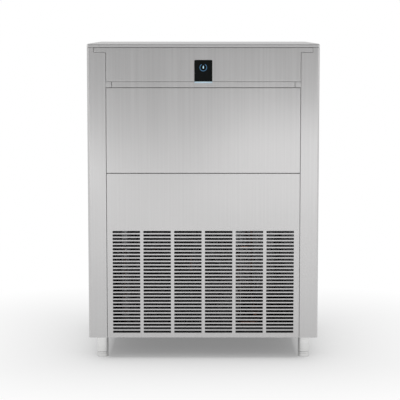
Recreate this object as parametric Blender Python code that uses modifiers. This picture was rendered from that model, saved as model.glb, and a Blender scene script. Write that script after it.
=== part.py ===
"""Ice cube machine with storage bin, in metres, +Z up, front towards -Y, feet on z = 0.

Every sub-part is one object in the collection ice_cube_machine. Moving pieces have their origin on
their joint axis: the door on its pivot shaft, the curtain flaps on their rod, the fan on its shaft.
"""

import math

import bmesh
import bpy
from mathutils import Matrix, Vector

# Clearances and sheets
SEAT = 0.0003
SHEET = 0.0012
FRAME_SHEET = 0.0015
SEAM = 0.0012

# Cabinet
CABINET_WIDTH = 0.840
CABINET_DEPTH = 0.722
FITTING_REACH = 0.018
FOOT_HEIGHT = 0.080
PILLAR_WIDTH = 0.0673
PILLAR_RETURN = 0.012
REAR_RETURN = 0.020
CORNER_RADIUS = 0.010
CORNER_STEPS = 4
TRAY_HEIGHT = 0.040
TOP_FRAME_HEIGHT = 0.035
TOP_FRAME_LEG = 0.025

# Front, from the feet upwards
GRILLE_HEIGHT = 0.6057
GRILLE_DEPTH = 0.024
DOOR_LOWER_GAP = 0.0018
DOOR_HEIGHT = 0.3088
DOOR_UPPER_GAP = 0.0015
RAIL_HEIGHT = 0.0207
RAIL_DEPTH = 0.010
RAIL_END_WIDTH = 0.020
FASCIA_GAP = 0.0005
FASCIA_HEIGHT = 0.122
FASCIA_DEPTH = 0.020
EAR_INSET = 0.0255
EAR_HEIGHT = 0.0165
LID_GAP = 0.0013
LID_HEIGHT = 0.0127
REAR_PANEL_INSET = 0.002

# Slots of the grille
SLOT_COLUMNS = 6
SLOT_ROWS = 30
SLOT_HEIGHT = 0.007
SLOT_SIDE_MARGIN = 0.0205
SLOT_BRIDGE = 0.0118
SLOT_ROW_PITCH = 0.012734
SLOT_FIRST_ROW = 0.0222

# Slots and holes of the rear panel
VENT_COLUMNS = 2
VENT_ROWS = 12
VENT_HEIGHT = 0.008
VENT_SIDE_MARGIN = 0.245
VENT_BRIDGE = 0.050
VENT_ROW_PITCH = 0.020
VENT_FIRST_ROW = 0.090

# Display
DISPLAY_WIDTH = 0.0646
DISPLAY_HEIGHT = 0.0775
DISPLAY_THICKNESS = 0.004
LIGHT_HEIGHT = 0.0053
LIGHT_DEPTH = 0.008

# Feet
FOOT_RADIUS = 0.02125
FOOT_WALL = 0.002
FOOT_INSET_X = 0.0473
FOOT_INSET_FRONT = 0.056
FOOT_INSET_REAR = 0.056
FOOT_BASE_HEIGHT = 0.020
FOOT_FLARE = 0.0015
FOOT_EDGE = 0.001
FOOT_SHANK_DROP = 0.018
FOOT_STEPS = 16

# Door, its shaft and its guides
DOOR_THICKNESS = 0.030
DOOR_RETURN = 0.012
PIVOT_BACK = 0.020
PIVOT_DROP = 0.0263
SHAFT_RADIUS = 0.005
GLIDE_LENGTH = 0.016
GLIDE_HEIGHT = 0.017
GLIDE_WIDTH = 0.0105
GUIDE_END_GAP = 0.063
GUIDE_FOOT = 0.020
GUIDE_LIP_GAP = 0.0018
DOOR_DISH = 0.006
DOOR_DISH_BORDER = 0.032
GASKET_THICKNESS = 0.0034
GASKET_WIDTH = 0.008

# Bin
BIN_DROP = 0.1557
BIN_TOP_DROP = 0.020
BIN_REAR_DUCT = 0.034
BIN_FLOOR_FOAM = 0.040
BIN_REAR_FOAM = 0.040
BIN_SILL_FOAM = 0.034
LINER_WALL = 0.0025
SILL_OVERLAP = 0.0125
SIDE_CLEARANCE = 0.003
DRAIN_SIDE = 0.0545
DRAIN_BACK = 0.058
DRAIN_RADIUS = 0.012
DRAIN_BORE = 0.008
DRAIN_SPIGOT = 0.030
HOSE_BEND = 0.040
FRAME_BAR = 0.020

# Ice making unit
STACK_BACK = 0.018
STACK_DEPTH = 0.270
STACK_BAR = 0.015
STACK_SEAT = 0.020
HOUSING_SIDE = 0.1145
SUMP_SIDE = 0.0245
SUMP_INSET = 0.005
SUMP_HEIGHT = 0.045
PLASTIC_WALL = 0.003
HOUSING_HEIGHT = 0.065
CUP_COLUMNS = 10
CUP_ROWS = 4
CUP_HEIGHT = 0.030
CUP_MARGIN = 0.006
CUP_TAPER = 0.88
COPPER_WALL = 0.0012
COIL_RADIUS = 0.00475
COIL_OVERHANG = 0.020
COIL_BEND_SHARE = 0.45
ROD_RADIUS = 0.003
ROD_DROP = 0.010
ROD_BACK = 0.017
FLAP_COUNT = 3
FLAP_LENGTH = 0.048
FLAP_THICKNESS = 0.002
FLAP_GAP = 0.004
FLAP_EYE = 0.005
GRID_SLOPE = math.radians(10)
GRID_SLOTS = 18
GRID_THICKNESS = 0.003
GRID_FRONT_RISE = 0.012
SPRAY_TRUNK_RADIUS = 0.008
SPRAY_ARM_RADIUS = 0.005
SPRAY_RISE = 0.020
SPRAY_ARMS = 4
SPRAY_JETS = 2
JET_LENGTH = 0.012
PUMP_RADIUS = 0.030
PUMP_HEIGHT = 0.095

# Machine compartment
CONDENSER_SIDE = 0.1185
CONDENSER_WIDTH = 0.440
CONDENSER_HEADROOM = 0.0482
CONDENSER_DEPTH = 0.044
CONDENSER_GAP = 0.034
CONDENSER_SLOTS = 21
SHROUD_DEPTH = 0.030
ORIFICE_MARGIN = 0.030
FAN_TIP_GAP = 0.010
FAN_BLADES = 5
FAN_HUB_RADIUS = 0.030
FAN_HUB_LENGTH = 0.034
FAN_PITCH = math.radians(28)
BLADE_SECTIONS = 4
BLADE_ROOT_CHORD = 0.022
BLADE_CHORD_GROWTH = 0.030
BLADE_TIP_ROUND = 0.008
BLADE_THICKNESS = 0.0016
MOTOR_RADIUS = 0.042
MOTOR_LENGTH = 0.054
MOTOR_GAP = 0.006
BRACKET_HEIGHT = 0.030
BRACKET_SHEET = 0.002
BRACKET_MARGIN = 0.015
BRACKET_TOE = 0.020
COMPRESSOR_SIDE = 0.2185
COMPRESSOR_GAP = 0.057
COMPRESSOR_RADIUS = 0.095
COMPRESSOR_HEIGHT = 0.220
COMPRESSOR_LEG = 0.015
COMPRESSOR_PLATE = 0.006
COMPRESSOR_PAD = 0.030
COMPRESSOR_SEAM = 0.004
PIPE_RADIUS = 0.004
SUCTION_RADIUS = 0.006
BEND_RADIUS = 0.020
PIPE_LANE = 0.030
RISER_REACH = 0.060
SUCTION_RISE = 0.060
SUCTION_REACH = 0.022
CAPILLARY_REACH = 0.026
DRIER_RADIUS = 0.016
DRIER_LENGTH = 0.120
DRIER_SPACING = 0.148

# Connections through the rear panel
INLET_SIDE = 0.120
INLET_RISE = 0.080
OUTLET_RISE = 0.060
GLAND_SIDE = 0.200
GLAND_RISE = 0.160
VALVE_LENGTH = 0.045
OUTLET_LENGTH = 0.040
GLAND_LENGTH = 0.015
INLET_RADIUS = 0.013
GLAND_RADIUS = 0.010
FLANGE_THICKNESS = 0.004
FLANGE_RIM = 0.006
HOLE_CLEARANCE = 0.001
FITTING_STEPS = 12

# Control box
CONTROL_HALF_WIDTH = 0.200
CONTROL_DEPTH = 0.140

# Levels and planes worked out from the sizes above
FRONT_Y = -(CABINET_DEPTH + FITTING_REACH) / 2
REAR_Y = FRONT_Y + CABINET_DEPTH
HALF_WIDTH = CABINET_WIDTH / 2
INNER_HALF = HALF_WIDTH - SHEET - SEAT
PILLAR_IN = HALF_WIDTH - PILLAR_WIDTH
PANEL_HALF = PILLAR_IN - SEAM
EAR_HALF_WIDTH = HALF_WIDTH - EAR_INSET
SLOT_WIDTH = (2 * (PANEL_HALF - SLOT_SIDE_MARGIN) + SLOT_BRIDGE) / SLOT_COLUMNS - SLOT_BRIDGE
VENT_WIDTH = (2 * (HALF_WIDTH - VENT_SIDE_MARGIN) + VENT_BRIDGE) / VENT_COLUMNS - VENT_BRIDGE
RETURN_Y = REAR_Y - SHEET - SEAT
INNER_REAR_Y = RETURN_Y - SHEET - SEAT
TRAY_FRONT_Y = FRONT_Y + GRILLE_DEPTH + SEAT
TRAY_FLOOR = FOOT_HEIGHT + FRAME_SHEET + SEAT
GRILLE_TOP = FOOT_HEIGHT + GRILLE_HEIGHT
DOOR_BOTTOM = GRILLE_TOP + DOOR_LOWER_GAP
DOOR_TOP = DOOR_BOTTOM + DOOR_HEIGHT
RAIL_BOTTOM = DOOR_TOP + DOOR_UPPER_GAP
RAIL_TOP = RAIL_BOTTOM + RAIL_HEIGHT
FASCIA_BOTTOM = RAIL_TOP + FASCIA_GAP
FASCIA_TOP = FASCIA_BOTTOM + FASCIA_HEIGHT
LID_BOTTOM = FASCIA_TOP + LID_GAP
TOP_Z = LID_BOTTOM + LID_HEIGHT
PIVOT_Y = FRONT_Y + PIVOT_BACK
PIVOT_Z = DOOR_TOP - PIVOT_DROP
BIN_TOP = PIVOT_Z - BIN_TOP_DROP
BIN_HALF = PANEL_HALF + SIDE_CLEARANCE
BIN_FRONT_Y = FRONT_Y + DOOR_THICKNESS + GASKET_THICKNESS + 2 * SEAT
BIN_REAR_Y = REAR_Y - BIN_REAR_DUCT
BIN_BOTTOM = GRILLE_TOP - BIN_DROP
BIN_FLOOR = BIN_BOTTOM + BIN_FLOOR_FOAM
SILL_Z = DOOR_BOTTOM + SILL_OVERLAP
BIN_INNER_FRONT_Y = BIN_FRONT_Y + BIN_SILL_FOAM
BIN_INNER_REAR_Y = BIN_REAR_Y - BIN_REAR_FOAM
DRAIN_X = BIN_HALF - DRAIN_SIDE
DRAIN_Y = BIN_INNER_REAR_Y - DRAIN_BACK
STACK_FRONT_Y = BIN_REAR_Y - STACK_BACK - STACK_DEPTH
GUIDE_FRONT_Y = PIVOT_Y - GLIDE_LENGTH / 2
GUIDE_LENGTH = STACK_FRONT_Y - GUIDE_END_GAP - GUIDE_FRONT_Y
HOUSING_HALF = BIN_HALF - HOUSING_SIDE
SUMP_RIGHT = BIN_HALF - SUMP_SIDE
SUMP_BOTTOM = BIN_TOP + STACK_BAR + 2 * SEAT
SUMP_TOP = SUMP_BOTTOM + SUMP_HEIGHT
SUMP_FRONT_Y = STACK_FRONT_Y + SUMP_INSET
SUMP_REAR_Y = STACK_FRONT_Y + STACK_DEPTH - SUMP_INSET
HOUSING_TOP = SUMP_TOP + SEAT + HOUSING_HEIGHT
CUP_TOP = HOUSING_TOP + SEAT + CUP_HEIGHT + COPPER_WALL
COIL_Z = CUP_TOP + SEAT + COIL_RADIUS
ROD_Y = SUMP_FRONT_Y + ROD_BACK
ROD_Z = HOUSING_TOP - ROD_DROP
STACK_MID_Y = (SUMP_FRONT_Y + SUMP_REAR_Y) / 2
PUMP_X = (HOUSING_HALF + SUMP_RIGHT - PLASTIC_WALL) / 2
SPRAY_Z = SUMP_BOTTOM + PLASTIC_WALL + SPRAY_RISE
DUCT_Y = (BIN_REAR_Y + INNER_REAR_Y) / 2
CONDENSER_LEFT = CONDENSER_SIDE - INNER_HALF
CONDENSER_RIGHT = CONDENSER_LEFT + CONDENSER_WIDTH
CONDENSER_HEIGHT = BIN_BOTTOM - FRAME_BAR - CONDENSER_HEADROOM - TRAY_FLOOR
CONDENSER_FRONT_Y = FRONT_Y + GRILLE_DEPTH + CONDENSER_GAP
CONDENSER_REAR_Y = CONDENSER_FRONT_Y + CONDENSER_DEPTH
ORIFICE_RADIUS = CONDENSER_HEIGHT / 2 - ORIFICE_MARGIN
FAN_RADIUS = ORIFICE_RADIUS - FAN_TIP_GAP
SHROUD_REAR_Y = CONDENSER_REAR_Y + SEAT + SHROUD_DEPTH
FAN_X = (CONDENSER_LEFT + CONDENSER_RIGHT) / 2
FAN_Z = TRAY_FLOOR + CONDENSER_HEIGHT / 2
FAN_Y = SHROUD_REAR_Y
MOTOR_FRONT_Y = FAN_Y + FAN_HUB_LENGTH / 2 + MOTOR_GAP
MOTOR_REAR_Y = MOTOR_FRONT_Y + MOTOR_LENGTH
COMPRESSOR_X = COMPRESSOR_SIDE - INNER_HALF
COMPRESSOR_Y = REAR_Y - COMPRESSOR_GAP - COMPRESSOR_RADIUS
SUCTION_X = HOUSING_HALF + SUCTION_REACH
CAPILLARY_X = SUCTION_X + CAPILLARY_REACH
INLET_X = INLET_SIDE - HALF_WIDTH
INLET_Z = FOOT_HEIGHT + INLET_RISE
OUTLET_Z = FOOT_HEIGHT + OUTLET_RISE
GLAND_X = GLAND_SIDE - HALF_WIDTH
GLAND_Z = FOOT_HEIGHT + GLAND_RISE
REAR_HOLES = (
    (INLET_X, INLET_Z, INLET_RADIUS),
    (DRAIN_X, OUTLET_Z, DRAIN_RADIUS),
    (GLAND_X, GLAND_Z, GLAND_RADIUS),
)

FINISHES = {
    "brushed_steel": ((0.42, 0.42, 0.43), 0.38, 0.9),
    "zinc_steel": ((0.40, 0.41, 0.42), 0.50, 0.8),
    "black_paint": ((0.02, 0.02, 0.02), 0.45, 0.0),
    "copper": ((0.62, 0.30, 0.16), 0.30, 1.0),
    "aluminium": ((0.60, 0.61, 0.62), 0.40, 1.0),
    "white_plastic": ((0.80, 0.81, 0.80), 0.45, 0.0),
    "grey_plastic": ((0.25, 0.26, 0.27), 0.50, 0.0),
    "black_rubber": ((0.03, 0.03, 0.03), 0.80, 0.0),
    "black_glass": ((0.008, 0.009, 0.010), 0.08, 0.0),
    "light_guide": ((0.45, 0.62, 0.70), 0.30, 0.0),
    "foam": ((0.70, 0.66, 0.50), 0.90, 0.0),
    "chrome": ((0.70, 0.70, 0.70), 0.15, 1.0),
}

X_AXIS = Vector((1, 0, 0))
Y_AXIS = Vector((0, 1, 0))
Z_AXIS = Vector((0, 0, 1))


# Scene, collections and materials

def clear_scene():
    for item in list(bpy.data.objects):
        bpy.data.objects.remove(item, do_unlink=True)


def add_collection(name):
    collection = bpy.data.collections.new(name)
    bpy.context.scene.collection.children.link(collection)
    return collection


def add_material(name, colour, roughness, metallic):
    material = bpy.data.materials.new(name)
    material.use_nodes = True
    shader = material.node_tree.nodes["Principled BSDF"]
    shader.inputs["Base Color"].default_value = (*colour, 1.0)
    shader.inputs["Roughness"].default_value = roughness
    shader.inputs["Metallic"].default_value = metallic
    return material


def add_object(name, data, finish, origin=None):
    """Link data as a part. The data is in world places, and origin becomes the object's own."""
    item = bpy.data.objects.new(name, data)
    if origin is not None:
        data.transform(Matrix.Translation(-Vector(origin)))
        item.location = origin
    data.materials.append(MATERIALS[finish])
    PARTS.objects.link(item)
    return item


def mesh_from(name, bm, smooth_angle=None):
    mesh = bpy.data.meshes.new(name)
    bm.to_mesh(mesh)
    bm.free()
    if smooth_angle is not None:
        mesh.shade_smooth()
        mesh.set_sharp_from_angle(angle=smooth_angle)
    return mesh


# Modifiers

def solidify(item, wall, even=True):
    shell = item.modifiers.new("Wall", "SOLIDIFY")
    shell.thickness = wall
    shell.offset = -1
    shell.use_even_offset = even
    return item


def boolean(item, bm, operation, name, local):
    """Cut bm from item, or join it to item. The places in bm are the item's own if local is set."""
    tool = bpy.data.objects.new(name, mesh_from(name, bm))
    tool.hide_render = True
    tool.display_type = "WIRE"
    CUTTERS.objects.link(tool)
    step = item.modifiers.new(name, "BOOLEAN")
    step.operation = operation
    step.solver = "EXACT"
    step.object = tool
    tool.parent = item
    tool.matrix_parent_inverse = Matrix.Translation((0, 0, 0) if local else -item.location)
    return item


def cut(item, bm, name, local=False):
    return boolean(item, bm, "DIFFERENCE", name, local)


def join(item, bm, name, local=False):
    return boolean(item, bm, "UNION", name, local)


# Shapes

def add_block(bm, low, high):
    size = Vector(high) - Vector(low)
    centre = (Vector(high) + Vector(low)) / 2
    place = Matrix.Translation(centre) @ Matrix.Diagonal((*size, 1.0))
    bmesh.ops.create_cube(bm, size=1.0, matrix=place)
    return bm


def runs_along(edge, axis):
    return abs((edge.verts[1].co - edge.verts[0].co).normalized().dot(axis)) > 0.999


def block(low, high):
    return add_block(bmesh.new(), low, high)


def add_cylinder(bm, centre, radius, length, axis, segments, tip=None):
    """Add a cylinder, or a cone that ends in the radius tip, centred on centre along axis."""
    turn = Z_AXIS.rotation_difference(axis).to_matrix().to_4x4()
    bmesh.ops.create_cone(
        bm, cap_ends=True, segments=segments, radius1=radius, radius2=radius if tip is None else tip,
        depth=length, matrix=Matrix.Translation(centre) @ turn)
    return bm


def cylinder(centre, radius, length, axis, segments):
    return add_cylinder(bmesh.new(), centre, radius, length, axis, segments)


def open_side(bm, direction):
    bm.normal_update()
    doomed = [face for face in bm.faces if face.normal.dot(Vector(direction)) > 0.9]
    bmesh.ops.delete(bm, geom=doomed, context="FACES")
    return bm


def block_part(name, low, high, finish, origin=None):
    return add_object(name, mesh_from(name, block(low, high)), finish, origin)


def open_box(name, low, high, opening, wall, finish):
    """A sheet or moulded box whose outer faces lie between low and high, open on some sides."""
    bm = block(low, high)
    for direction in opening:
        open_side(bm, direction)
    return solidify(add_object(name, mesh_from(name, bm), finish), wall)


def folded_sheet(name, path, sweep, outside, wall, finish):
    """A strip folded along path, which is its outer face, and as wide as sweep is long."""
    bm = bmesh.new()
    verts = [bm.verts.new(point) for point in path]
    edges = [bm.edges.new(pair) for pair in zip(verts, verts[1:])]
    swept = bmesh.ops.extrude_edge_only(bm, edges=edges)["geom"]
    far = [element for element in swept if isinstance(element, bmesh.types.BMVert)]
    bmesh.ops.translate(bm, vec=sweep, verts=far)
    bm.normal_update()
    largest = max(bm.faces, key=lambda face: face.calc_area() * abs(face.normal.dot(outside)))
    if largest.normal.dot(outside) < 0:
        bmesh.ops.reverse_faces(bm, faces=bm.faces)
    return solidify(add_object(name, mesh_from(name, bm), finish), wall)


def front_pan(name, outline, depth, finish, origin=None):
    """A sheet panel in the front plane, its edges folded back by depth. The outline is (x, z)."""
    bm = bmesh.new()
    face = bm.faces.new([bm.verts.new((x, FRONT_Y, z)) for x, z in outline])
    folded = bmesh.ops.extrude_edge_only(bm, edges=list(face.edges))["geom"]
    rims = [element for element in folded if isinstance(element, bmesh.types.BMVert)]
    bmesh.ops.translate(bm, vec=Y_AXIS * depth, verts=rims)
    bmesh.ops.recalc_face_normals(bm, faces=bm.faces)
    if face.normal.y > 0:
        bmesh.ops.reverse_faces(bm, faces=bm.faces)
    return solidify(add_object(name, mesh_from(name, bm), finish, origin), SHEET)


def rectangle(half_width, bottom, top):
    return [(-half_width, bottom), (half_width, bottom), (half_width, top), (-half_width, top)]


def turned(name, profile, base, axis, finish, steps):
    """A turned piece. The profile is (radius, height) from its top outside down and round."""
    bm = bmesh.new()
    verts = [bm.verts.new((radius, 0, height)) for radius, height in profile]
    for pair in zip(verts, verts[1:]):
        bm.edges.new(pair)
    if profile[0][0] > 0:
        bm.edges.new((verts[-1], verts[0]))
    item = add_object(name, mesh_from(name, bm), finish)
    item.location = base
    item.rotation_mode = "QUATERNION"
    item.rotation_quaternion = Z_AXIS.rotation_difference(Vector(axis))
    screw = item.modifiers.new("Turn", "SCREW")
    screw.steps = steps
    screw.render_steps = steps
    screw.use_merge_vertices = True
    screw.merge_threshold = 0.00005
    return item


def bend(points, radius, steps=3):
    """The route through points with its corners rounded."""
    points = [Vector(point) for point in points]
    route = [points[0]]
    for before, corner, after in zip(points, points[1:], points[2:]):
        to_before = (before - corner).normalized()
        to_after = (after - corner).normalized()
        half = to_before.angle(to_after) / 2
        reach = min(radius / math.tan(half), (before - corner).length / 2, (after - corner).length / 2)
        bow = reach * math.tan(half)
        centre = corner + (to_before + to_after).normalized() * (bow / math.sin(half))
        start = corner + to_before * reach - centre
        end = corner + to_after * reach - centre
        sweep = start.angle(end)
        for step in range(steps + 1):
            share = step / steps
            arm = start * math.sin((1 - share) * sweep) + end * math.sin(share * sweep)
            route.append(centre + arm / math.sin(sweep))
    route.append(points[-1])
    return route


def tube(name, points, radius, finish):
    curve = bpy.data.curves.new(name, "CURVE")
    curve.dimensions = "3D"
    curve.bevel_depth = radius
    curve.bevel_resolution = 2
    curve.use_fill_caps = True
    spline = curve.splines.new("POLY")
    spline.points.add(len(points) - 1)
    for slot, point in zip(spline.points, points):
        slot.co = (*point, 1.0)
    return add_object(name, curve, finish)


# Cabinet

def make_tray():
    low = (-INNER_HALF, TRAY_FRONT_Y, FOOT_HEIGHT)
    high = (INNER_HALF, INNER_REAR_Y, FOOT_HEIGHT + TRAY_HEIGHT)
    open_box("base_tray", low, high, [Z_AXIS], FRAME_SHEET, "zinc_steel")


def make_side_panel(name, side):
    """One sheet: a return behind the front seam, the pillar, the rounded corner, side and rear fold."""
    corner_x = HALF_WIDTH - CORNER_RADIUS
    corner_y = FRONT_Y + CORNER_RADIUS
    path = [(PILLAR_IN, FRONT_Y + PILLAR_RETURN), (PILLAR_IN, FRONT_Y)]
    for step in range(CORNER_STEPS + 1):
        angle = math.pi / 2 * step / CORNER_STEPS
        x = corner_x + CORNER_RADIUS * math.sin(angle)
        path.append((x, corner_y - CORNER_RADIUS * math.cos(angle)))
    path += [(HALF_WIDTH, RETURN_Y), (HALF_WIDTH - REAR_RETURN, RETURN_Y)]
    points = [(side * x, y, FOOT_HEIGHT) for x, y in path]
    height = Z_AXIS * (FASCIA_TOP - FOOT_HEIGHT)
    panel = folded_sheet(name, points, height, X_AXIS * side, SHEET, "brushed_steel")
    ear = sorted((side * (PILLAR_IN - REAR_RETURN), side * (EAR_HALF_WIDTH + SEAM)))
    low = (ear[0], FRONT_Y - SHEET, FASCIA_TOP - EAR_HEIGHT - SEAM)
    cut(panel, block(low, (ear[1], FRONT_Y + FASCIA_DEPTH, TOP_Z)), name + "_ear_notch")


def slot_pattern(columns, rows, column_pitch, row_pitch, first_row, width, height, y):
    """Cutters for rows and columns of slots through a sheet at y, centred on x = 0."""
    bm = bmesh.new()
    for column in range(columns):
        x = (column - (columns - 1) / 2) * column_pitch
        for row in range(rows):
            z = first_row + row * row_pitch
            low = (x - width / 2, y - 2 * SHEET, z - height / 2)
            add_block(bm, low, (x + width / 2, y + 2 * SHEET, z + height / 2))
    return bm


def make_rear_panel():
    x = HALF_WIDTH - REAR_PANEL_INSET
    low = (-x, REAR_Y - SHEET, FOOT_HEIGHT + REAR_PANEL_INSET)
    high = (x, REAR_Y, FASCIA_TOP - REAR_PANEL_INSET)
    panel = block_part("rear_panel", low, high, "zinc_steel")
    vents = slot_pattern(
        VENT_COLUMNS, VENT_ROWS, VENT_WIDTH + VENT_BRIDGE, VENT_ROW_PITCH,
        FOOT_HEIGHT + VENT_FIRST_ROW, VENT_WIDTH, VENT_HEIGHT, REAR_Y)
    cut(panel, vents, "rear_vents")
    holes = bmesh.new()
    for x, z, radius in REAR_HOLES:
        centre = Vector((x, REAR_Y, z))
        add_cylinder(holes, centre, radius + HOLE_CLEARANCE, 4 * SHEET, Y_AXIS, 16)
    cut(panel, holes, "rear_holes")


def rounded_lid_block(low, high, radius, front_corners):
    """A block open below, with rounded top edges and, if wanted, rounded front corners."""
    bm = open_side(block(low, high), -Z_AXIS)
    edges = [edge for edge in bm.edges if is_top_edge(edge, high[2])]
    if front_corners:
        edges += [edge for edge in bm.edges if runs_along(edge, Z_AXIS) and edge.verts[0].co.y < 0]
    bmesh.ops.bevel(
        bm, geom=edges, offset=radius, segments=CORNER_STEPS, profile=0.5, affect="EDGES")
    return bm


def is_top_edge(edge, top):
    return all(abs(vert.co.z - top) < SEAT for vert in edge.verts)


def make_lid():
    low = (-HALF_WIDTH, FRONT_Y, LID_BOTTOM)
    bm = rounded_lid_block(low, (HALF_WIDTH, REAR_Y, TOP_Z), CORNER_RADIUS, True)
    mesh = mesh_from("top_cover", bm, math.radians(40))
    solidify(add_object("top_cover", mesh, "brushed_steel"), SHEET)


def make_top_frame():
    """An angle frame that the lid rests on, its top edges rounded to fit inside the lid."""
    top = TOP_Z - SHEET - SEAT
    low = (-INNER_HALF, FRONT_Y + FASCIA_DEPTH + SEAT, top - TOP_FRAME_HEIGHT)
    high = (INNER_HALF, INNER_REAR_Y, top)
    bm = rounded_lid_block(low, high, CORNER_RADIUS - SHEET - SEAT, False)
    frame = solidify(add_object("top_frame", mesh_from("top_frame", bm), "zinc_steel"), FRAME_SHEET)
    inner_low = (low[0] + TOP_FRAME_LEG, low[1] + TOP_FRAME_LEG, top - 2 * CORNER_RADIUS)
    inner_high = (high[0] - TOP_FRAME_LEG, high[1] - TOP_FRAME_LEG, TOP_Z)
    cut(frame, block(inner_low, inner_high), "top_frame_opening")


def make_fascia():
    ear_bottom = FASCIA_TOP - EAR_HEIGHT
    half = [(PANEL_HALF, FASCIA_BOTTOM), (PANEL_HALF, ear_bottom),
            (EAR_HALF_WIDTH, ear_bottom), (EAR_HALF_WIDTH, FASCIA_TOP)]
    outline = half + [(-x, z) for x, z in reversed(half)]
    fascia = front_pan("front_fascia", outline, FASCIA_DEPTH, "brushed_steel")
    window = DISPLAY_WIDTH / 2 + SEAT
    low = (-window, FRONT_Y - SHEET, FASCIA_BOTTOM - SHEET)
    high = (window, FRONT_Y + FASCIA_DEPTH / 2, FASCIA_BOTTOM + DISPLAY_HEIGHT + SEAT)
    cut(fascia, block(low, high), "display_window")


def make_display():
    half = DISPLAY_WIDTH / 2
    low = (-half, FRONT_Y, FASCIA_BOTTOM)
    glass_top = FASCIA_BOTTOM + DISPLAY_HEIGHT
    block_part("display_glass", low, (half, FRONT_Y + DISPLAY_THICKNESS, glass_top), "black_glass")
    light_top = FASCIA_BOTTOM - SEAT
    low = (-half, FRONT_Y, light_top - LIGHT_HEIGHT)
    block_part("light_strip", low, (half, FRONT_Y + LIGHT_DEPTH, light_top), "light_guide")


def make_front_rail():
    """The fixed rail over the door, notched for the light strip, with a cap at each end."""
    half = PANEL_HALF - RAIL_END_WIDTH
    notch = DISPLAY_WIDTH / 2 + SEAT
    notch_z = FASCIA_BOTTOM - 2 * SEAT - LIGHT_HEIGHT
    rail = front_pan("front_rail", rectangle(half, RAIL_BOTTOM, RAIL_TOP), RAIL_DEPTH, "brushed_steel")
    low = (-notch, FRONT_Y - SHEET, notch_z)
    cut(rail, block(low, (notch, FRONT_Y + LIGHT_DEPTH + SEAT, RAIL_TOP + SHEET)), "light_notch")
    for name, side in (("rail_end_left", -1), ("rail_end_right", 1)):
        inner, outer = sorted((side * (half + SEAT), side * (PILLAR_IN - SEAT)))
        low = (inner, FRONT_Y, RAIL_BOTTOM)
        block_part(name, low, (outer, FRONT_Y + RAIL_DEPTH, RAIL_TOP), "brushed_steel")


def make_grille():
    outline = rectangle(PANEL_HALF, FOOT_HEIGHT, GRILLE_TOP)
    panel = front_pan("grille_panel", outline, GRILLE_DEPTH, "brushed_steel")
    slots = slot_pattern(
        SLOT_COLUMNS, SLOT_ROWS, SLOT_WIDTH + SLOT_BRIDGE, SLOT_ROW_PITCH,
        FOOT_HEIGHT + SLOT_FIRST_ROW, SLOT_WIDTH, SLOT_HEIGHT, FRONT_Y)
    cut(panel, slots, "grille_slots")


def make_foot(place, x, y):
    """A tube under the tray, and an adjustable base with a flared rim that screws up into it."""
    top = FOOT_HEIGHT - SEAT
    inner = FOOT_RADIUS - FOOT_WALL
    sleeve = [(FOOT_RADIUS, top), (FOOT_RADIUS, FOOT_BASE_HEIGHT), (inner, FOOT_BASE_HEIGHT),
              (inner, top)]
    turned("foot_sleeve_" + place, sleeve, (x, y, 0), Z_AXIS, "brushed_steel", FOOT_STEPS)
    shank = inner - SEAT
    shank_top = FOOT_HEIGHT - FOOT_SHANK_DROP
    rim = FOOT_BASE_HEIGHT - SEAT
    base = [(0, shank_top), (shank, shank_top), (shank, rim), (FOOT_RADIUS, rim),
            (FOOT_RADIUS + FOOT_FLARE, rim / 3), (FOOT_RADIUS + FOOT_FLARE, FOOT_EDGE),
            (FOOT_RADIUS, 0), (0, 0)]
    turned("foot_base_" + place, base, (x, y, 0), Z_AXIS, "brushed_steel", FOOT_STEPS)


def make_feet():
    x = HALF_WIDTH - FOOT_INSET_X
    front = FRONT_Y + FOOT_INSET_FRONT
    rear = REAR_Y - FOOT_INSET_REAR
    for place, side, y in (("front_left", -1, front), ("front_right", 1, front),
                           ("rear_left", -1, rear), ("rear_right", 1, rear)):
        make_foot(place, side * x, y)


# Bin

def make_support_frame():
    """Four legs on the tray and a ring under the bin, welded from square bar."""
    top = BIN_BOTTOM - SEAT
    x = INNER_HALF - FRAME_SHEET - SEAT
    front = TRAY_FRONT_Y + FRAME_SHEET + SEAT
    rear = BIN_REAR_Y - SEAT
    outer = block((-x, front, top - FRAME_BAR), (x, rear, top))
    frame = add_object("support_frame", mesh_from("support_frame", outer), "zinc_steel")
    low = (-x + FRAME_BAR, front + FRAME_BAR, top - 2 * FRAME_BAR)
    cut(frame, block(low, (x - FRAME_BAR, rear - FRAME_BAR, BIN_BOTTOM)), "frame_opening")
    legs = bmesh.new()
    side = FRAME_BAR - 2 * FRAME_SHEET
    for left in (-x + FRAME_SHEET, x - FRAME_BAR + FRAME_SHEET):
        for near in (front + FRAME_SHEET, rear - FRAME_BAR + FRAME_SHEET):
            add_block(legs, (left, near, TRAY_FLOOR), (left + side, near + side, top - FRAME_BAR / 2))
    join(frame, legs, "frame_legs")


def bin_cutters(grow, above):
    """The room inside the bin and its front throat, larger by grow on every side."""
    room = block((-BIN_HALF - grow, BIN_INNER_FRONT_Y - grow, BIN_FLOOR + LINER_WALL - grow),
                 (BIN_HALF + grow, BIN_INNER_REAR_Y + grow, above))
    throat = block((-BIN_HALF - grow, BIN_FRONT_Y - FRAME_BAR, SILL_Z - grow),
                   (BIN_HALF + grow, BIN_INNER_FRONT_Y + LINER_WALL, above))
    return room, throat


def make_bin():
    low = (-INNER_HALF, BIN_FRONT_Y, BIN_BOTTOM)
    body = block_part("bin_body", low, (INNER_HALF, BIN_REAR_Y, BIN_TOP), "foam")
    room, throat = bin_cutters(LINER_WALL + SEAT, BIN_TOP + FRAME_BAR)
    cut(body, room, "body_room")
    cut(body, throat, "body_throat")
    drain = Vector((DRAIN_X, DRAIN_Y, BIN_FLOOR))
    hole = cylinder(drain, DRAIN_RADIUS + SEAT, 4 * BIN_FLOOR_FOAM, Z_AXIS, 16)
    cut(body, hole, "body_drain_hole")
    make_liner(drain)


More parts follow.
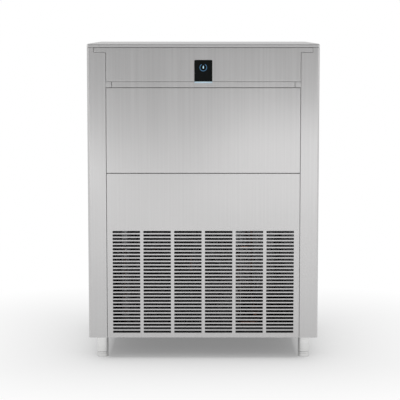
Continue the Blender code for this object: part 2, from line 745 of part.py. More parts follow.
def make_liner(drain):
    """The moulded tub, open at the top and over the sill, with its drain spigot."""
    outer_low = (-BIN_HALF - LINER_WALL, BIN_INNER_FRONT_Y - LINER_WALL, BIN_FLOOR)
    outer_high = (BIN_HALF + LINER_WALL, BIN_INNER_REAR_Y + LINER_WALL, BIN_TOP)
    liner = block_part("bin_liner", outer_low, outer_high, "white_plastic")
    throat_low = (-BIN_HALF - LINER_WALL, BIN_FRONT_Y, SILL_Z - LINER_WALL)
    throat_high = (BIN_HALF + LINER_WALL, BIN_INNER_FRONT_Y, BIN_TOP)
    join(liner, block(throat_low, throat_high), "liner_throat_outside")
    spigot_length = BIN_FLOOR_FOAM + DRAIN_SPIGOT
    middle = drain - Z_AXIS * (spigot_length / 2 - LINER_WALL / 2)
    join(liner, cylinder(middle, DRAIN_RADIUS, spigot_length, Z_AXIS, 16), "liner_spigot")
    room, throat = bin_cutters(0.0, BIN_TOP + FRAME_BAR)
    cut(liner, room, "liner_room")
    cut(liner, throat, "liner_throat")
    cut(liner, cylinder(middle, DRAIN_BORE, spigot_length * 2, Z_AXIS, 12), "liner_drain_bore")


def make_drain():
    top = BIN_BOTTOM - DRAIN_SPIGOT + LINER_WALL / 2
    end_y = INNER_REAR_Y - OUTLET_LENGTH
    points = [(DRAIN_X, DRAIN_Y, top - SEAT), (DRAIN_X, DRAIN_Y, OUTLET_Z), (DRAIN_X, end_y, OUTLET_Z)]
    tube("drain_hose", bend(points, HOSE_BEND, 5), DRAIN_RADIUS, "grey_plastic")
    rear_fitting("drain_outlet", DRAIN_X, OUTLET_Z, DRAIN_RADIUS, end_y + SEAT, "grey_plastic")


def rear_fitting(name, x, z, radius, inner_y, finish):
    """A stub through the rear panel, with a flange behind the sheet."""
    flange_top = REAR_Y - SHEET - SEAT - inner_y
    length = REAR_Y + FITTING_REACH - inner_y
    rim = radius + FLANGE_RIM
    bore = radius * 0.6
    profile = [(0, length / 2), (bore, length / 2), (bore, length), (radius, length),
               (radius, flange_top), (rim, flange_top), (rim, flange_top - FLANGE_THICKNESS),
               (radius, flange_top - FLANGE_THICKNESS), (radius, 0), (0, 0)]
    turned(name, profile, (x, inner_y, z), Y_AXIS, finish, FITTING_STEPS)


# Door

def make_door():
    pivot = (0, PIVOT_Y, PIVOT_Z)
    outline = rectangle(PANEL_HALF, DOOR_BOTTOM, DOOR_TOP)
    front_pan("door_skin", outline, DOOR_RETURN, "brushed_steel", pivot)
    inset = SHEET + SEAT
    inner_y = FRONT_Y + DOOR_THICKNESS
    half = PANEL_HALF - inset
    low = (-half, FRONT_Y + inset, DOOR_BOTTOM + inset)
    high = (half, inner_y, DOOR_TOP - inset)
    liner = block_part("door_liner", low, high, "white_plastic", pivot)
    bore = cylinder(Vector(pivot), SHAFT_RADIUS + SEAT, 3 * half, X_AXIS, 16)
    cut(liner, bore, "shaft_bore")
    dish_low = (-half + DOOR_DISH_BORDER, inner_y - DOOR_DISH, DOOR_BOTTOM + DOOR_DISH_BORDER)
    dish_high = (half - DOOR_DISH_BORDER, inner_y + DOOR_DISH, PIVOT_Z - DOOR_DISH_BORDER)
    cut(liner, block(dish_low, dish_high), "door_dish")
    make_gasket(pivot, inner_y + SEAT)


def make_gasket(pivot, y):
    """One straight seal along the bottom of the door, against the sill."""
    low = (-PANEL_HALF + GASKET_WIDTH, y, SILL_Z - GASKET_WIDTH)
    high = (PANEL_HALF - GASKET_WIDTH, y + GASKET_THICKNESS, SILL_Z)
    block_part("door_gasket", low, high, "black_rubber", pivot)


def make_door_carriage():
    """The pivot shaft across the door and a glide block on each end of it."""
    pivot = Vector((0, PIVOT_Y, PIVOT_Z))
    glide_in = PILLAR_IN + GUIDE_LIP_GAP + SEAT
    glide_out = glide_in + GLIDE_WIDTH
    length = 2 * (glide_out - SEAT)
    shaft = cylinder(pivot, SHAFT_RADIUS, length, X_AXIS, 16)
    add_object("door_shaft", mesh_from("door_shaft", shaft, math.radians(40)), "chrome", pivot)
    for name, side in (("door_glide_left", -1), ("door_glide_right", 1)):
        inner, outer = sorted((side * glide_in, side * glide_out))
        low = (inner, PIVOT_Y - GLIDE_LENGTH / 2, PIVOT_Z - GLIDE_HEIGHT / 2)
        high = (outer, PIVOT_Y + GLIDE_LENGTH / 2, PIVOT_Z + GLIDE_HEIGHT / 2)
        glide = block_part(name, low, high, "white_plastic", pivot)
        cut(glide, cylinder(pivot, SHAFT_RADIUS + SEAT, CABINET_WIDTH, X_AXIS, 16), name + "_bore")


def make_guides():
    """Channels beside the opening, open towards the door, each with a foot on the bin's wall."""
    top = PIVOT_Z + GLIDE_HEIGHT / 2 + SEAT + FRAME_SHEET
    bottom = PIVOT_Z - GLIDE_HEIGHT / 2 - SEAT - FRAME_SHEET
    lip = PILLAR_IN + GUIDE_LIP_GAP
    web = lip + SEAT + GLIDE_WIDTH + SEAT + FRAME_SHEET
    y = GUIDE_FRONT_Y
    foot = BIN_TOP + SEAT
    for name, side in (("guide_rail_left", -1), ("guide_rail_right", 1)):
        profile = [(lip, top), (web, top), (web, bottom), (lip, bottom)]
        path = [(side * x, y, z) for x, z in profile]
        rail = folded_sheet(name, path, Y_AXIS * GUIDE_LENGTH, X_AXIS * side, FRAME_SHEET, "zinc_steel")
        near, far = sorted((side * (web - FRAME_SHEET), side * (web + GUIDE_FOOT)))
        base = block((near, BIN_FRONT_Y, foot), (far, y + GUIDE_LENGTH, foot + FRAME_SHEET))
        join(rail, base, name + "_foot")
        near, far = sorted((side * (web - FRAME_SHEET), side * web))
        riser = block((near, BIN_FRONT_Y, foot), (far, y + GUIDE_LENGTH, bottom + FRAME_SHEET / 2))
        join(rail, riser, name + "_riser")


# Ice making unit

def make_stack_frame():
    """A flat ring that bridges the bin from wall to wall and carries the ice making unit."""
    x = BIN_HALF + STACK_SEAT
    low = (-x, STACK_FRONT_Y, BIN_TOP + SEAT)
    high = (x, STACK_FRONT_Y + STACK_DEPTH, BIN_TOP + SEAT + STACK_BAR)
    frame = block_part("evaporator_frame", low, high, "brushed_steel")
    inner_low = (low[0] + STACK_BAR, low[1] + STACK_BAR, BIN_TOP - STACK_BAR)
    inner_high = (high[0] - STACK_BAR, high[1] - STACK_BAR, BIN_TOP + 3 * STACK_BAR)
    cut(frame, block(inner_low, inner_high), "stack_frame_opening")


def make_sump():
    low = (-HOUSING_HALF, SUMP_FRONT_Y, SUMP_BOTTOM)
    open_box("water_sump", low, (SUMP_RIGHT, SUMP_REAR_Y, SUMP_TOP), [Z_AXIS], PLASTIC_WALL, "grey_plastic")


def make_housing():
    """Two side walls and a back, open below, above and in front."""
    z = SUMP_TOP + SEAT
    path = [(-HOUSING_HALF, SUMP_FRONT_Y, z), (-HOUSING_HALF, SUMP_REAR_Y, z),
            (HOUSING_HALF, SUMP_REAR_Y, z), (HOUSING_HALF, SUMP_FRONT_Y, z)]
    folded_sheet("spray_housing", path, Z_AXIS * HOUSING_HEIGHT, Y_AXIS, PLASTIC_WALL, "white_plastic")


def make_evaporator():
    """A plate of tapered cups that open downwards, drawn from one sheet."""
    depth = SUMP_REAR_Y - SUMP_FRONT_Y
    bm = bmesh.new()
    bmesh.ops.create_grid(bm, x_segments=CUP_COLUMNS, y_segments=CUP_ROWS, size=0.5)
    bmesh.ops.scale(bm, vec=(2 * HOUSING_HALF, depth, 1), verts=bm.verts)
    plate_z = HOUSING_TOP + SEAT + COPPER_WALL
    bmesh.ops.translate(bm, vec=(0, STACK_MID_Y, plate_z), verts=bm.verts)
    mouths = list(bm.faces)
    bmesh.ops.inset_individual(bm, faces=mouths, thickness=CUP_MARGIN, use_even_offset=True)
    crowns = bmesh.ops.extrude_discrete_faces(bm, faces=mouths)["faces"]
    for crown in crowns:
        centre = crown.calc_center_median()
        bmesh.ops.scale(bm, vec=(CUP_TAPER,) * 3, verts=crown.verts, space=Matrix.Translation(-centre))
        bmesh.ops.translate(bm, vec=Z_AXIS * CUP_HEIGHT, verts=crown.verts)
    plate = add_object("evaporator", mesh_from("evaporator", bm), "copper")
    solidify(plate, COPPER_WALL, even=False)


def cup_row_y(row):
    depth = SUMP_REAR_Y - SUMP_FRONT_Y
    return SUMP_FRONT_Y + depth * (row + 0.5) / CUP_ROWS


def make_coil():
    """A serpentine that runs once over every row of cups, both ends at the right."""
    reach = HOUSING_HALF - COIL_OVERHANG
    points = [(HOUSING_HALF, cup_row_y(0), COIL_Z)]
    for row in range(CUP_ROWS):
        side = -1 if row % 2 == 0 else 1
        points.append((side * reach, cup_row_y(row), COIL_Z))
        if row < CUP_ROWS - 1:
            points.append((side * reach, cup_row_y(row + 1), COIL_Z))
    points[-1] = (SUCTION_X, cup_row_y(CUP_ROWS - 1), COIL_Z)
    points.append((SUCTION_X, SUMP_REAR_Y, COIL_Z))
    radius = (cup_row_y(1) - cup_row_y(0)) * COIL_BEND_SHARE
    tube("evaporator_coil", bend(points, radius, 4), COIL_RADIUS, "copper")


def make_curtain():
    inside = HOUSING_HALF - PLASTIC_WALL - SEAT
    axle = Vector((0, ROD_Y, ROD_Z))
    rod = cylinder(axle, ROD_RADIUS, 2 * inside, X_AXIS, 12)
    add_object("curtain_rod", mesh_from("curtain_rod", rod, math.radians(40)), "chrome")
    pitch = 2 * inside / FLAP_COUNT
    for index in range(FLAP_COUNT):
        centre = Vector((-inside + pitch * (index + 0.5), ROD_Y, ROD_Z))
        make_flap("curtain_flap_%d" % (index + 1), centre, pitch - FLAP_GAP)


def make_flap(name, centre, width):
    """A plate that hangs from an eye round the rod."""
    eye = cylinder(centre, FLAP_EYE, width, X_AXIS, 12)
    flap = add_object(name, mesh_from(name, eye), "white_plastic", centre)
    low = centre + Vector((-width / 2, -FLAP_THICKNESS / 2, -FLAP_LENGTH))
    high = centre + Vector((width / 2, FLAP_THICKNESS / 2, -FLAP_EYE / 2))
    join(flap, block(low, high), name + "_plate")
    cut(flap, cylinder(centre, ROD_RADIUS + SEAT, 2 * width, X_AXIS, 12), name + "_bore")


def make_ice_grid():
    """A slotted slide between the side walls of the housing, sloped down to the curtain."""
    half = HOUSING_HALF - PLASTIC_WALL - SEAT
    front = ROD_Y + FLAP_EYE + ROD_RADIUS
    length = (SUMP_REAR_Y - PLASTIC_WALL - SEAT - front) / math.cos(GRID_SLOPE) - GRID_THICKNESS
    bm = block((-half, 0, 0), (half, length, GRID_THICKNESS))
    grid = add_object("ice_grid", mesh_from("ice_grid", bm), "white_plastic")
    grid.location = (0, front, SUMP_TOP + GRID_FRONT_RISE)
    grid.rotation_euler = (GRID_SLOPE, 0, 0)
    slots = bmesh.new()
    pitch = 2 * half / (GRID_SLOTS + 1)
    for index in range(GRID_SLOTS):
        x = -half + pitch * (index + 1)
        low = (x - pitch / 4, pitch / 2, -GRID_THICKNESS)
        add_block(slots, low, (x + pitch / 4, length - pitch / 2, 2 * GRID_THICKNESS))
    cut(grid, slots, "grid_slots", local=True)


def make_spray_bar():
    """A trunk fed by the pump, with arms to both sides and jets on top of them."""
    left = -HOUSING_HALF + PLASTIC_WALL + STACK_BAR
    right = PUMP_X - PUMP_RADIUS - SEAT
    centre = Vector(((left + right) / 2, STACK_MID_Y, SPRAY_Z))
    bm = cylinder(centre, SPRAY_TRUNK_RADIUS, right - left, X_AXIS, 12)
    bar = add_object("spray_bar", mesh_from("spray_bar", bm), "white_plastic")
    arms = bmesh.new()
    jets = bmesh.new()
    arm_length = (SUMP_REAR_Y - SUMP_FRONT_Y) * 0.75
    pitch = 2 * HOUSING_HALF / SPRAY_ARMS
    for arm in range(SPRAY_ARMS):
        x = -HOUSING_HALF + pitch * (arm + 0.5)
        add_cylinder(arms, Vector((x, STACK_MID_Y, SPRAY_Z)), SPRAY_ARM_RADIUS, arm_length, Y_AXIS, 8)
        for jet in range(SPRAY_JETS):
            y = STACK_MID_Y + arm_length * ((jet + 0.5) / SPRAY_JETS - 0.5)
            place = Vector((x, y, SPRAY_Z + SPRAY_TRUNK_RADIUS))
            add_cylinder(jets, place, SPRAY_ARM_RADIUS * 0.7, JET_LENGTH, Z_AXIS, 6, SPRAY_ARM_RADIUS * 0.3)
    join(bar, arms, "spray_arms")
    join(bar, jets, "spray_jets")


def make_pump():
    """Impeller case in the sump with the motor above it."""
    base = SUMP_BOTTOM + PLASTIC_WALL + SEAT
    neck = PUMP_RADIUS * 0.45
    case = PUMP_HEIGHT * 0.36
    profile = [(0, PUMP_HEIGHT), (PUMP_RADIUS * 0.7, PUMP_HEIGHT), (PUMP_RADIUS * 0.85, PUMP_HEIGHT * 0.95),
               (PUMP_RADIUS * 0.85, PUMP_HEIGHT * 0.55), (neck, PUMP_HEIGHT * 0.50), (neck, case * 1.1),
               (PUMP_RADIUS, case), (PUMP_RADIUS, 0), (0, 0)]
    turned("water_pump", profile, (PUMP_X, STACK_MID_Y, base), Z_AXIS, "grey_plastic", 16)


# Machine compartment

def make_condenser():
    low = (CONDENSER_LEFT, CONDENSER_FRONT_Y, TRAY_FLOOR)
    high = (CONDENSER_RIGHT, CONDENSER_REAR_Y, TRAY_FLOOR + CONDENSER_HEIGHT)
    core = block_part("condenser", low, high, "aluminium")
    slots = bmesh.new()
    pitch = (CONDENSER_RIGHT - CONDENSER_LEFT) / (CONDENSER_SLOTS + 1)
    for index in range(CONDENSER_SLOTS):
        x = CONDENSER_LEFT + pitch * (index + 1)
        slot_low = (x - pitch * 0.3, low[1] - pitch, low[2] + pitch)
        add_block(slots, slot_low, (x + pitch * 0.3, high[1] + pitch, high[2] - pitch))
    cut(core, slots, "condenser_slots")


def make_shroud():
    low = (CONDENSER_LEFT, CONDENSER_REAR_Y + SEAT, TRAY_FLOOR)
    high = (CONDENSER_RIGHT, SHROUD_REAR_Y, TRAY_FLOOR + CONDENSER_HEIGHT)
    shroud = open_box("fan_shroud", low, high, [-Y_AXIS], SHEET, "zinc_steel")
    centre = Vector((FAN_X, SHROUD_REAR_Y, FAN_Z))
    cut(shroud, cylinder(centre, ORIFICE_RADIUS, SHROUD_DEPTH, Y_AXIS, 28), "shroud_orifice")


def make_fan():
    """A hub with pitched blades, each a flat blade twisted towards its tip."""
    centre = Vector((FAN_X, FAN_Y, FAN_Z))
    hub = cylinder(centre, FAN_HUB_RADIUS, FAN_HUB_LENGTH, Y_AXIS, 16)
    fan = add_object("fan_blade", mesh_from("fan_blade", hub), "black_paint", centre)
    blades = bmesh.new()
    for index in range(FAN_BLADES):
        add_blade(blades, centre, 2 * math.pi * index / FAN_BLADES)
    join(fan, blades, "fan_blades")
    bore = Vector((FAN_X, FAN_Y + FAN_HUB_LENGTH / 2, FAN_Z))
    cut(fan, cylinder(bore, PIPE_RADIUS + SEAT, FAN_HUB_LENGTH, Y_AXIS, 12), "fan_bore")


def add_blade(bm, centre, turn):
    """Sections of growing chord and falling pitch from the hub to the tip, then thickened."""
    rows = []
    for section in range(BLADE_SECTIONS):
        share = section / (BLADE_SECTIONS - 1)
        radius = FAN_HUB_RADIUS * 0.7 + (FAN_RADIUS - FAN_HUB_RADIUS * 0.7) * share
        pitch = FAN_PITCH * (1.25 - 0.5 * share)
        half_chord = BLADE_ROOT_CHORD + BLADE_CHORD_GROWTH * share
        row = []
        for edge in (-1, 0, 1):
            along = edge * half_chord * math.cos(pitch)
            back = edge * half_chord * math.sin(pitch) * 0.6
            point = Vector((along, back, radius - abs(edge) * BLADE_TIP_ROUND * share))
            row.append(bm.verts.new(Matrix.Rotation(turn, 3, "Y") @ point + centre))
        rows.append(row)
    faces = []
    for inner, outer in zip(rows, rows[1:]):
        for edge in range(2):
            faces.append(bm.faces.new((inner[edge], inner[edge + 1], outer[edge + 1], outer[edge])))
    bmesh.ops.recalc_face_normals(bm, faces=faces)
    bmesh.ops.solidify(bm, geom=faces, thickness=BLADE_THICKNESS)


def make_motor():
    """The motor's axis runs along -Y: its shaft reaches into the fan's hub."""
    shaft_tip = MOTOR_REAR_Y - (FAN_Y + SEAT * 2)
    profile = [(0, shaft_tip), (PIPE_RADIUS, shaft_tip), (PIPE_RADIUS, MOTOR_LENGTH),
               (MOTOR_RADIUS * 0.6, MOTOR_LENGTH), (MOTOR_RADIUS, MOTOR_LENGTH * 0.8),
               (MOTOR_RADIUS, MOTOR_LENGTH * 0.15), (MOTOR_RADIUS * 0.9, 0), (0, 0)]
    turned("fan_motor", profile, (FAN_X, MOTOR_REAR_Y, FAN_Z), -Y_AXIS, "black_paint", 16)


def make_bracket():
    """A strap from one side of the orifice round behind the motor to the other side."""
    foot = ORIFICE_RADIUS + BRACKET_MARGIN
    toe = foot + BRACKET_TOE
    near = SHROUD_REAR_Y + SEAT
    far = MOTOR_REAR_Y + SEAT
    z = FAN_Z - BRACKET_HEIGHT / 2
    half = [(toe, near), (foot, near), (foot * 0.7, far)]
    path = [(FAN_X - x, y, z) for x, y in half] + [(FAN_X + x, y, z) for x, y in reversed(half)]
    folded_sheet("fan_bracket", path, Z_AXIS * BRACKET_HEIGHT, -Y_AXIS, BRACKET_SHEET, "zinc_steel")


def make_compressor():
    """A welded pot on a base plate with four legs that stand on the tray."""
    radius = COMPRESSOR_RADIUS
    bottom = COMPRESSOR_LEG
    top = bottom + COMPRESSOR_HEIGHT
    seam = bottom + COMPRESSOR_HEIGHT * 0.58
    profile = [(0, top), (radius * 0.45, top - radius * 0.06), (radius * 0.8, top - radius * 0.30),
               (radius * 0.95, top - radius * 0.65), (radius * 0.95, seam + COMPRESSOR_SEAM),
               (radius, seam), (radius * 0.95, seam - COMPRESSOR_SEAM),
               (radius * 0.95, bottom + radius * 0.4),
               (radius * 0.75, bottom), (0, bottom)]
    pot = turned("compressor", profile, (COMPRESSOR_X, COMPRESSOR_Y, TRAY_FLOOR), Z_AXIS, "black_paint", 20)
    base = bmesh.new()
    half = radius * 0.9
    plate = COMPRESSOR_PLATE / 2
    add_block(base, (-half, -half, bottom - plate), (half, half, bottom + plate))
    join(pot, base, "compressor_plate", local=True)
    legs = bmesh.new()
    pad = COMPRESSOR_PAD
    for x in (-half, half - pad):
        for y in (-half, half - pad):
            add_block(legs, (x, y, 0), (x + pad, y + pad, bottom))
    join(pot, legs, "compressor_legs", local=True)


def make_pipes():
    """Copper lines between compressor, condenser, drier and evaporator coil."""
    side = COMPRESSOR_X + COMPRESSOR_RADIUS * 0.95 + SEAT
    hot_z = TRAY_FLOOR + COMPRESSOR_LEG + COMPRESSOR_HEIGHT * 0.40
    top_z = TRAY_FLOOR + CONDENSER_HEIGHT * 0.85
    low_z = TRAY_FLOOR + CONDENSER_HEIGHT * 0.10
    mid_y = (CONDENSER_FRONT_Y + CONDENSER_REAR_Y) / 2
    port = CONDENSER_RIGHT + SEAT
    lane = CONDENSER_RIGHT + PIPE_LANE
    riser = side + RISER_REACH
    hot = [(side, COMPRESSOR_Y, hot_z), (riser, COMPRESSOR_Y, hot_z),
           (riser, COMPRESSOR_Y, top_z), (lane, COMPRESSOR_Y, top_z),
           (lane, mid_y, top_z), (port, mid_y, top_z)]
    tube("discharge_pipe", bend(hot, BEND_RADIUS), PIPE_RADIUS, "copper")
    drier_y = CONDENSER_REAR_Y + DRIER_SPACING
    drier_x = lane + PIPE_LANE
    liquid = [(port, mid_y, low_z), (drier_x, mid_y, low_z), (drier_x, drier_y - SEAT, low_z)]
    tube("liquid_pipe", bend(liquid, BEND_RADIUS), PIPE_RADIUS, "copper")
    make_drier(drier_x, drier_y, low_z)
    feed_y = cup_row_y(0)
    feed = [(drier_x, drier_y + DRIER_LENGTH + SEAT, low_z), (drier_x, DUCT_Y, low_z),
            (drier_x, DUCT_Y, top_z), (CAPILLARY_X, DUCT_Y, top_z), (CAPILLARY_X, DUCT_Y, COIL_Z),
            (CAPILLARY_X, feed_y, COIL_Z), (HOUSING_HALF + SEAT, feed_y, COIL_Z)]
    tube("capillary_pipe", bend(feed, BEND_RADIUS), PIPE_RADIUS, "copper")
    back = COMPRESSOR_Y + COMPRESSOR_RADIUS * 0.95 + SEAT
    high_z = top_z + SUCTION_RISE
    suction = [(SUCTION_X, SUMP_REAR_Y + SEAT, COIL_Z), (SUCTION_X, DUCT_Y, COIL_Z),
               (SUCTION_X, DUCT_Y, high_z), (COMPRESSOR_X, DUCT_Y, high_z),
               (COMPRESSOR_X, DUCT_Y, hot_z), (COMPRESSOR_X, back, hot_z)]
    tube("suction_pipe", bend(suction, BEND_RADIUS), SUCTION_RADIUS, "copper")


def make_drier(x, y, z):
    length = DRIER_LENGTH
    neck = PIPE_RADIUS * 1.5
    profile = [(0, length), (neck, length), (DRIER_RADIUS, length * 0.85), (DRIER_RADIUS, length * 0.15),
               (neck, 0), (0, 0)]
    turned("filter_drier", profile, (x, y, z), Y_AXIS, "copper", 12)


# Control and connections

def make_control_box():
    """The closed sheet box of the controls, hung under the top frame behind the fascia."""
    top = TOP_Z - SHEET - SEAT - TOP_FRAME_HEIGHT - SEAT
    front = FRONT_Y + FASCIA_DEPTH + SEAT
    low = (-CONTROL_HALF_WIDTH, front, FASCIA_BOTTOM)
    block_part("control_box", low, (CONTROL_HALF_WIDTH, front + CONTROL_DEPTH, top), "zinc_steel")


def make_connections():
    valve_y = INNER_REAR_Y - VALVE_LENGTH
    rear_fitting("inlet_valve", INLET_X, INLET_Z, INLET_RADIUS, valve_y, "white_plastic")
    gland_y = INNER_REAR_Y - GLAND_LENGTH
    rear_fitting("cable_gland", GLAND_X, GLAND_Z, GLAND_RADIUS, gland_y, "grey_plastic")


clear_scene()
PARTS = add_collection("ice_cube_machine")
CUTTERS = add_collection("cutters")
MATERIALS = {name: add_material(name, *look) for name, look in FINISHES.items()}

make_tray()
make_side_panel("side_panel_left", -1)
make_side_panel("side_panel_right", 1)
make_rear_panel()
make_top_frame()
make_lid()
make_fascia()
make_display()
make_front_rail()
make_grille()
make_feet()
make_support_frame()
make_bin()
make_drain()
make_door()
make_door_carriage()
make_guides()
make_stack_frame()
make_sump()
make_housing()
make_evaporator()
make_coil()
make_curtain()
make_ice_grid()
make_spray_bar()
make_pump()
make_condenser()
make_shroud()
make_fan()
make_motor()
make_bracket()
make_compressor()
make_pipes()
make_control_box()
make_connections()
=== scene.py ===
# %% [markdown]
# # A self-contained ice cube machine in brushed steel
#
# The machine is a steel cabinet on four feet. Behind the slotted lower panel sit the compressor,
# the condenser and its fan. Above them is an insulated bin with a lift-up door, and over the bin
# the ice making unit with its controls.
#
# The solids of every part are loaded ready made. This lesson sets up the studio, gives the parts
# their finishes, and replaces those that show by finer ones: sheets with real bend radii, turned
# feet and fittings, a condenser with its fins. Each step has a short text like this one and then
# the code for it.

# %% Load the machine
import math

import bmesh
import bpy
from mathutils import Matrix, Vector


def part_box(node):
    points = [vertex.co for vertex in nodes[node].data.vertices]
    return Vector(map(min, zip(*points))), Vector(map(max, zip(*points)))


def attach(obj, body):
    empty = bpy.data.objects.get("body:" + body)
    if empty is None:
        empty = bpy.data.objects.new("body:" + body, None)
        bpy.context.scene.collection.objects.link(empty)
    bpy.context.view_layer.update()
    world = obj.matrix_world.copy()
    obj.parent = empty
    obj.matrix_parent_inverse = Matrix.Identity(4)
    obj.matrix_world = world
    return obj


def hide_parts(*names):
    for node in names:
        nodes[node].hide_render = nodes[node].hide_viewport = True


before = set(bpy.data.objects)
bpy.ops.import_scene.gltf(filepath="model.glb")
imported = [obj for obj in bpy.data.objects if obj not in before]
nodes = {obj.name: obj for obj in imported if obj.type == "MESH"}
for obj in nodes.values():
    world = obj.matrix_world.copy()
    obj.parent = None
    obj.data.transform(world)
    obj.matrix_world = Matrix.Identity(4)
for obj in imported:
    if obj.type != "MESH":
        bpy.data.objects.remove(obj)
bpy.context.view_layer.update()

# %% [markdown]
# ## The camera
#
# A product photograph of a cabinet is taken from far away with a long lens, so that its upright
# edges stay nearly parallel. The distance, the height and the lens below were found by fitting the
# corners of the cabinet to the picture. The camera looks along +Y and is tipped down a little,
# which is why the feet look narrower than the lid.

# %% Camera
camera_data = bpy.data.cameras.new("product_camera")
camera_data.lens = 138.6
camera_data.sensor_width = 36.0
camera_data.clip_end = 60.0
camera = bpy.data.objects.new("product_camera", camera_data)
camera.location = (-0.0119, -5.938, 1.2185)
camera.rotation_euler = (math.radians(90 - 6.45), 0.0, 0.0)
bpy.context.scene.collection.objects.link(camera)
bpy.context.scene.camera = camera

# %% [markdown]
# ## Small helpers for shader nodes
#
# A material is a graph of nodes. Writing each one out takes three lines, so a few helpers keep the
# cells short. `add_node` makes a node and fills in its sockets, and `wire` joins two of them.
# `maths` adds a Math node and `add_texture` a texture, both with their inputs joined.

# %% Node helpers
def add_node(tree, kind, place, settings=None, values=None):
    """Add a node at a place in the graph, with its settings and the values of its sockets."""
    node = tree.nodes.new(kind)
    node.location = (place[0] * 200, place[1] * 200)
    for name, value in (settings or {}).items():
        setattr(node, name, value)
    for name, value in (values or {}).items():
        node.inputs[name].default_value = value
    return node


def wire(tree, source, output, target, socket):
    """Join an output of one node to a socket of another."""
    tree.links.new(source.outputs[output], target.inputs[socket])


def maths(tree, place, operation, first, second):
    """A Math node. first and second are numbers, or (node, output) pairs."""
    node = add_node(tree, "ShaderNodeMath", place, {"operation": operation})
    for index, value in enumerate((first, second)):
        if isinstance(value, tuple):
            tree.links.new(value[0].outputs[value[1]], node.inputs[index])
        else:
            node.inputs[index].default_value = value
    return node


def add_texture(tree, kind, spot, coordinates, values, settings=None):
    """Add a texture of a kind, such as Noise, that lies in the part's own coordinates."""
    node = add_node(tree, "ShaderNodeTex" + kind, spot, settings, values)
    wire(tree, coordinates, "Object", node, "Vector")
    return node


# %% [markdown]
# ## The studio
#
# The machine stands on a seamless white floor. Its colour alone makes the picture white: for rays
# that come from the camera the floor turns into plain white a little way out from the machine, and
# stays a shaded floor near it, so that the soft shadow is kept. How far out a place lies is
# measured from a rectangle a little smaller than the cabinet. The world behind the floor is white
# for the camera, and a calm grey for the light that it gives. What metal mirrors is a third thing:
# dim in front, where the camera stands, bright to both sides and a middle grey at the back. Such
# a surrounding gives brushed sheets and round feet their light and dark bands.

# %% White floor
FLOOR_SIZE = 30.0
# Even under the machine this share of the floor is plain white for the camera and in reflections: painted
# light that lightens the shadow there.
WHITE_UNDER = 0.215
WHITE_REACH = 0.90
WHITE_RISE = 0.47
SHADED_HALF = (0.345, 0.34, 0.0)

bpy.ops.object.select_all(action="DESELECT")
bpy.ops.mesh.primitive_plane_add(size=FLOOR_SIZE, location=(0.0, 0.0, 0.0))
floor = bpy.context.object
floor.name = "studio_floor"
floor_material = bpy.data.materials.new("studio_floor")
floor_material.use_nodes = True
tree = floor_material.node_tree
tree.nodes.clear()
place = add_node(tree, "ShaderNodeTexCoord", (-5, 0))
mirror = add_node(tree, "ShaderNodeVectorMath", (-4, 0), {"operation": "ABSOLUTE"})
wire(tree, place, "Object", mirror, 0)
outside = add_node(tree, "ShaderNodeVectorMath", (-3, 0), {"operation": "SUBTRACT"})
wire(tree, mirror, "Vector", outside, 0)
outside.inputs[1].default_value = SHADED_HALF
only_out = add_node(tree, "ShaderNodeVectorMath", (-3, -1), {"operation": "MAXIMUM"})
wire(tree, outside, "Vector", only_out, 0)
length = add_node(tree, "ShaderNodeVectorMath", (-2, -1), {"operation": "LENGTH"})
wire(tree, only_out, "Vector", length, 0)
reached = maths(tree, (-3, 0), "DIVIDE", (length, "Value"), WHITE_REACH)
quick_rise = maths(tree, (-2, 0), "POWER", (reached, "Value"), WHITE_RISE)
fade = add_node(tree, "ShaderNodeMapRange", (-2, 1), None,
                {"From Min": 0.0, "From Max": 1.0, "To Min": WHITE_UNDER, "To Max": 1.0})
wire(tree, quick_rise, "Value", fade, "Value")
path = add_node(tree, "ShaderNodeLightPath", (-4, 2))
seen = maths(tree, (-3, 2), "MAXIMUM", (path, "Is Camera Ray"), (path, "Is Glossy Ray"))
seen = maths(tree, (-2, 2), "MAXIMUM", (seen, "Value"), (path, "Is Transmission Ray"))
share = maths(tree, (-1, 1), "MULTIPLY", (seen, "Value"), (fade, "Result"))
matt = add_node(tree, "ShaderNodeBsdfDiffuse", (-1, 0), None, {"Color": (0.80, 0.80, 0.80, 1.0)})
white = add_node(tree, "ShaderNodeEmission", (-1, -1), None, {"Color": (1.0, 1.0, 1.0, 1.0)})
blend = add_node(tree, "ShaderNodeMixShader", (0, 0))
wire(tree, share, "Value", blend, "Fac")
wire(tree, matt, "BSDF", blend, 1)
wire(tree, white, "Emission", blend, 2)
end = add_node(tree, "ShaderNodeOutputMaterial", (1, 0))
wire(tree, blend, "Shader", end, "Surface")
floor.data.materials.append(floor_material)
print("The floor turns plain white", WHITE_REACH, "m out from the shaded rectangle")

# %% White surroundings
WORLD_LEVEL = 0.80
MIRRORED_FRONT = 0.37
MIRRORED_SIDES = 1.10
MIRRORED_BACK = 0.74
SIDES_FROM = 0.40
SIDES_TO = 0.75
BACKDROP_FROM = -0.2
BACKDROP_TO = 0.3

world = bpy.data.worlds.new("studio")
bpy.context.scene.world = world
world.use_nodes = True
tree = world.node_tree
tree.nodes.clear()
path = add_node(tree, "ShaderNodeLightPath", (-3, 2))
seen = maths(tree, (-2, 2), "MAXIMUM", (path, "Is Camera Ray"), (path, "Is Transmission Ray"))
light = add_node(tree, "ShaderNodeBackground", (-2, 0), None,
                 {"Color": (1.0, 1.0, 1.0, 1.0), "Strength": WORLD_LEVEL})
way = add_node(tree, "ShaderNodeTexCoord", (-6, -1))
axes = add_node(tree, "ShaderNodeSeparateXYZ", (-5, -1))
wire(tree, way, "Generated", axes, "Vector")
sideways = maths(tree, (-4, -2), "ABSOLUTE", (axes, "X"), 0.0)
sides = add_node(tree, "ShaderNodeMapRange", (-3, -2), {"interpolation_type": "SMOOTHSTEP"},
                 {"From Min": SIDES_FROM, "From Max": SIDES_TO,
                  "To Min": MIRRORED_FRONT, "To Max": MIRRORED_SIDES})
wire(tree, sideways, "Value", sides, "Value")
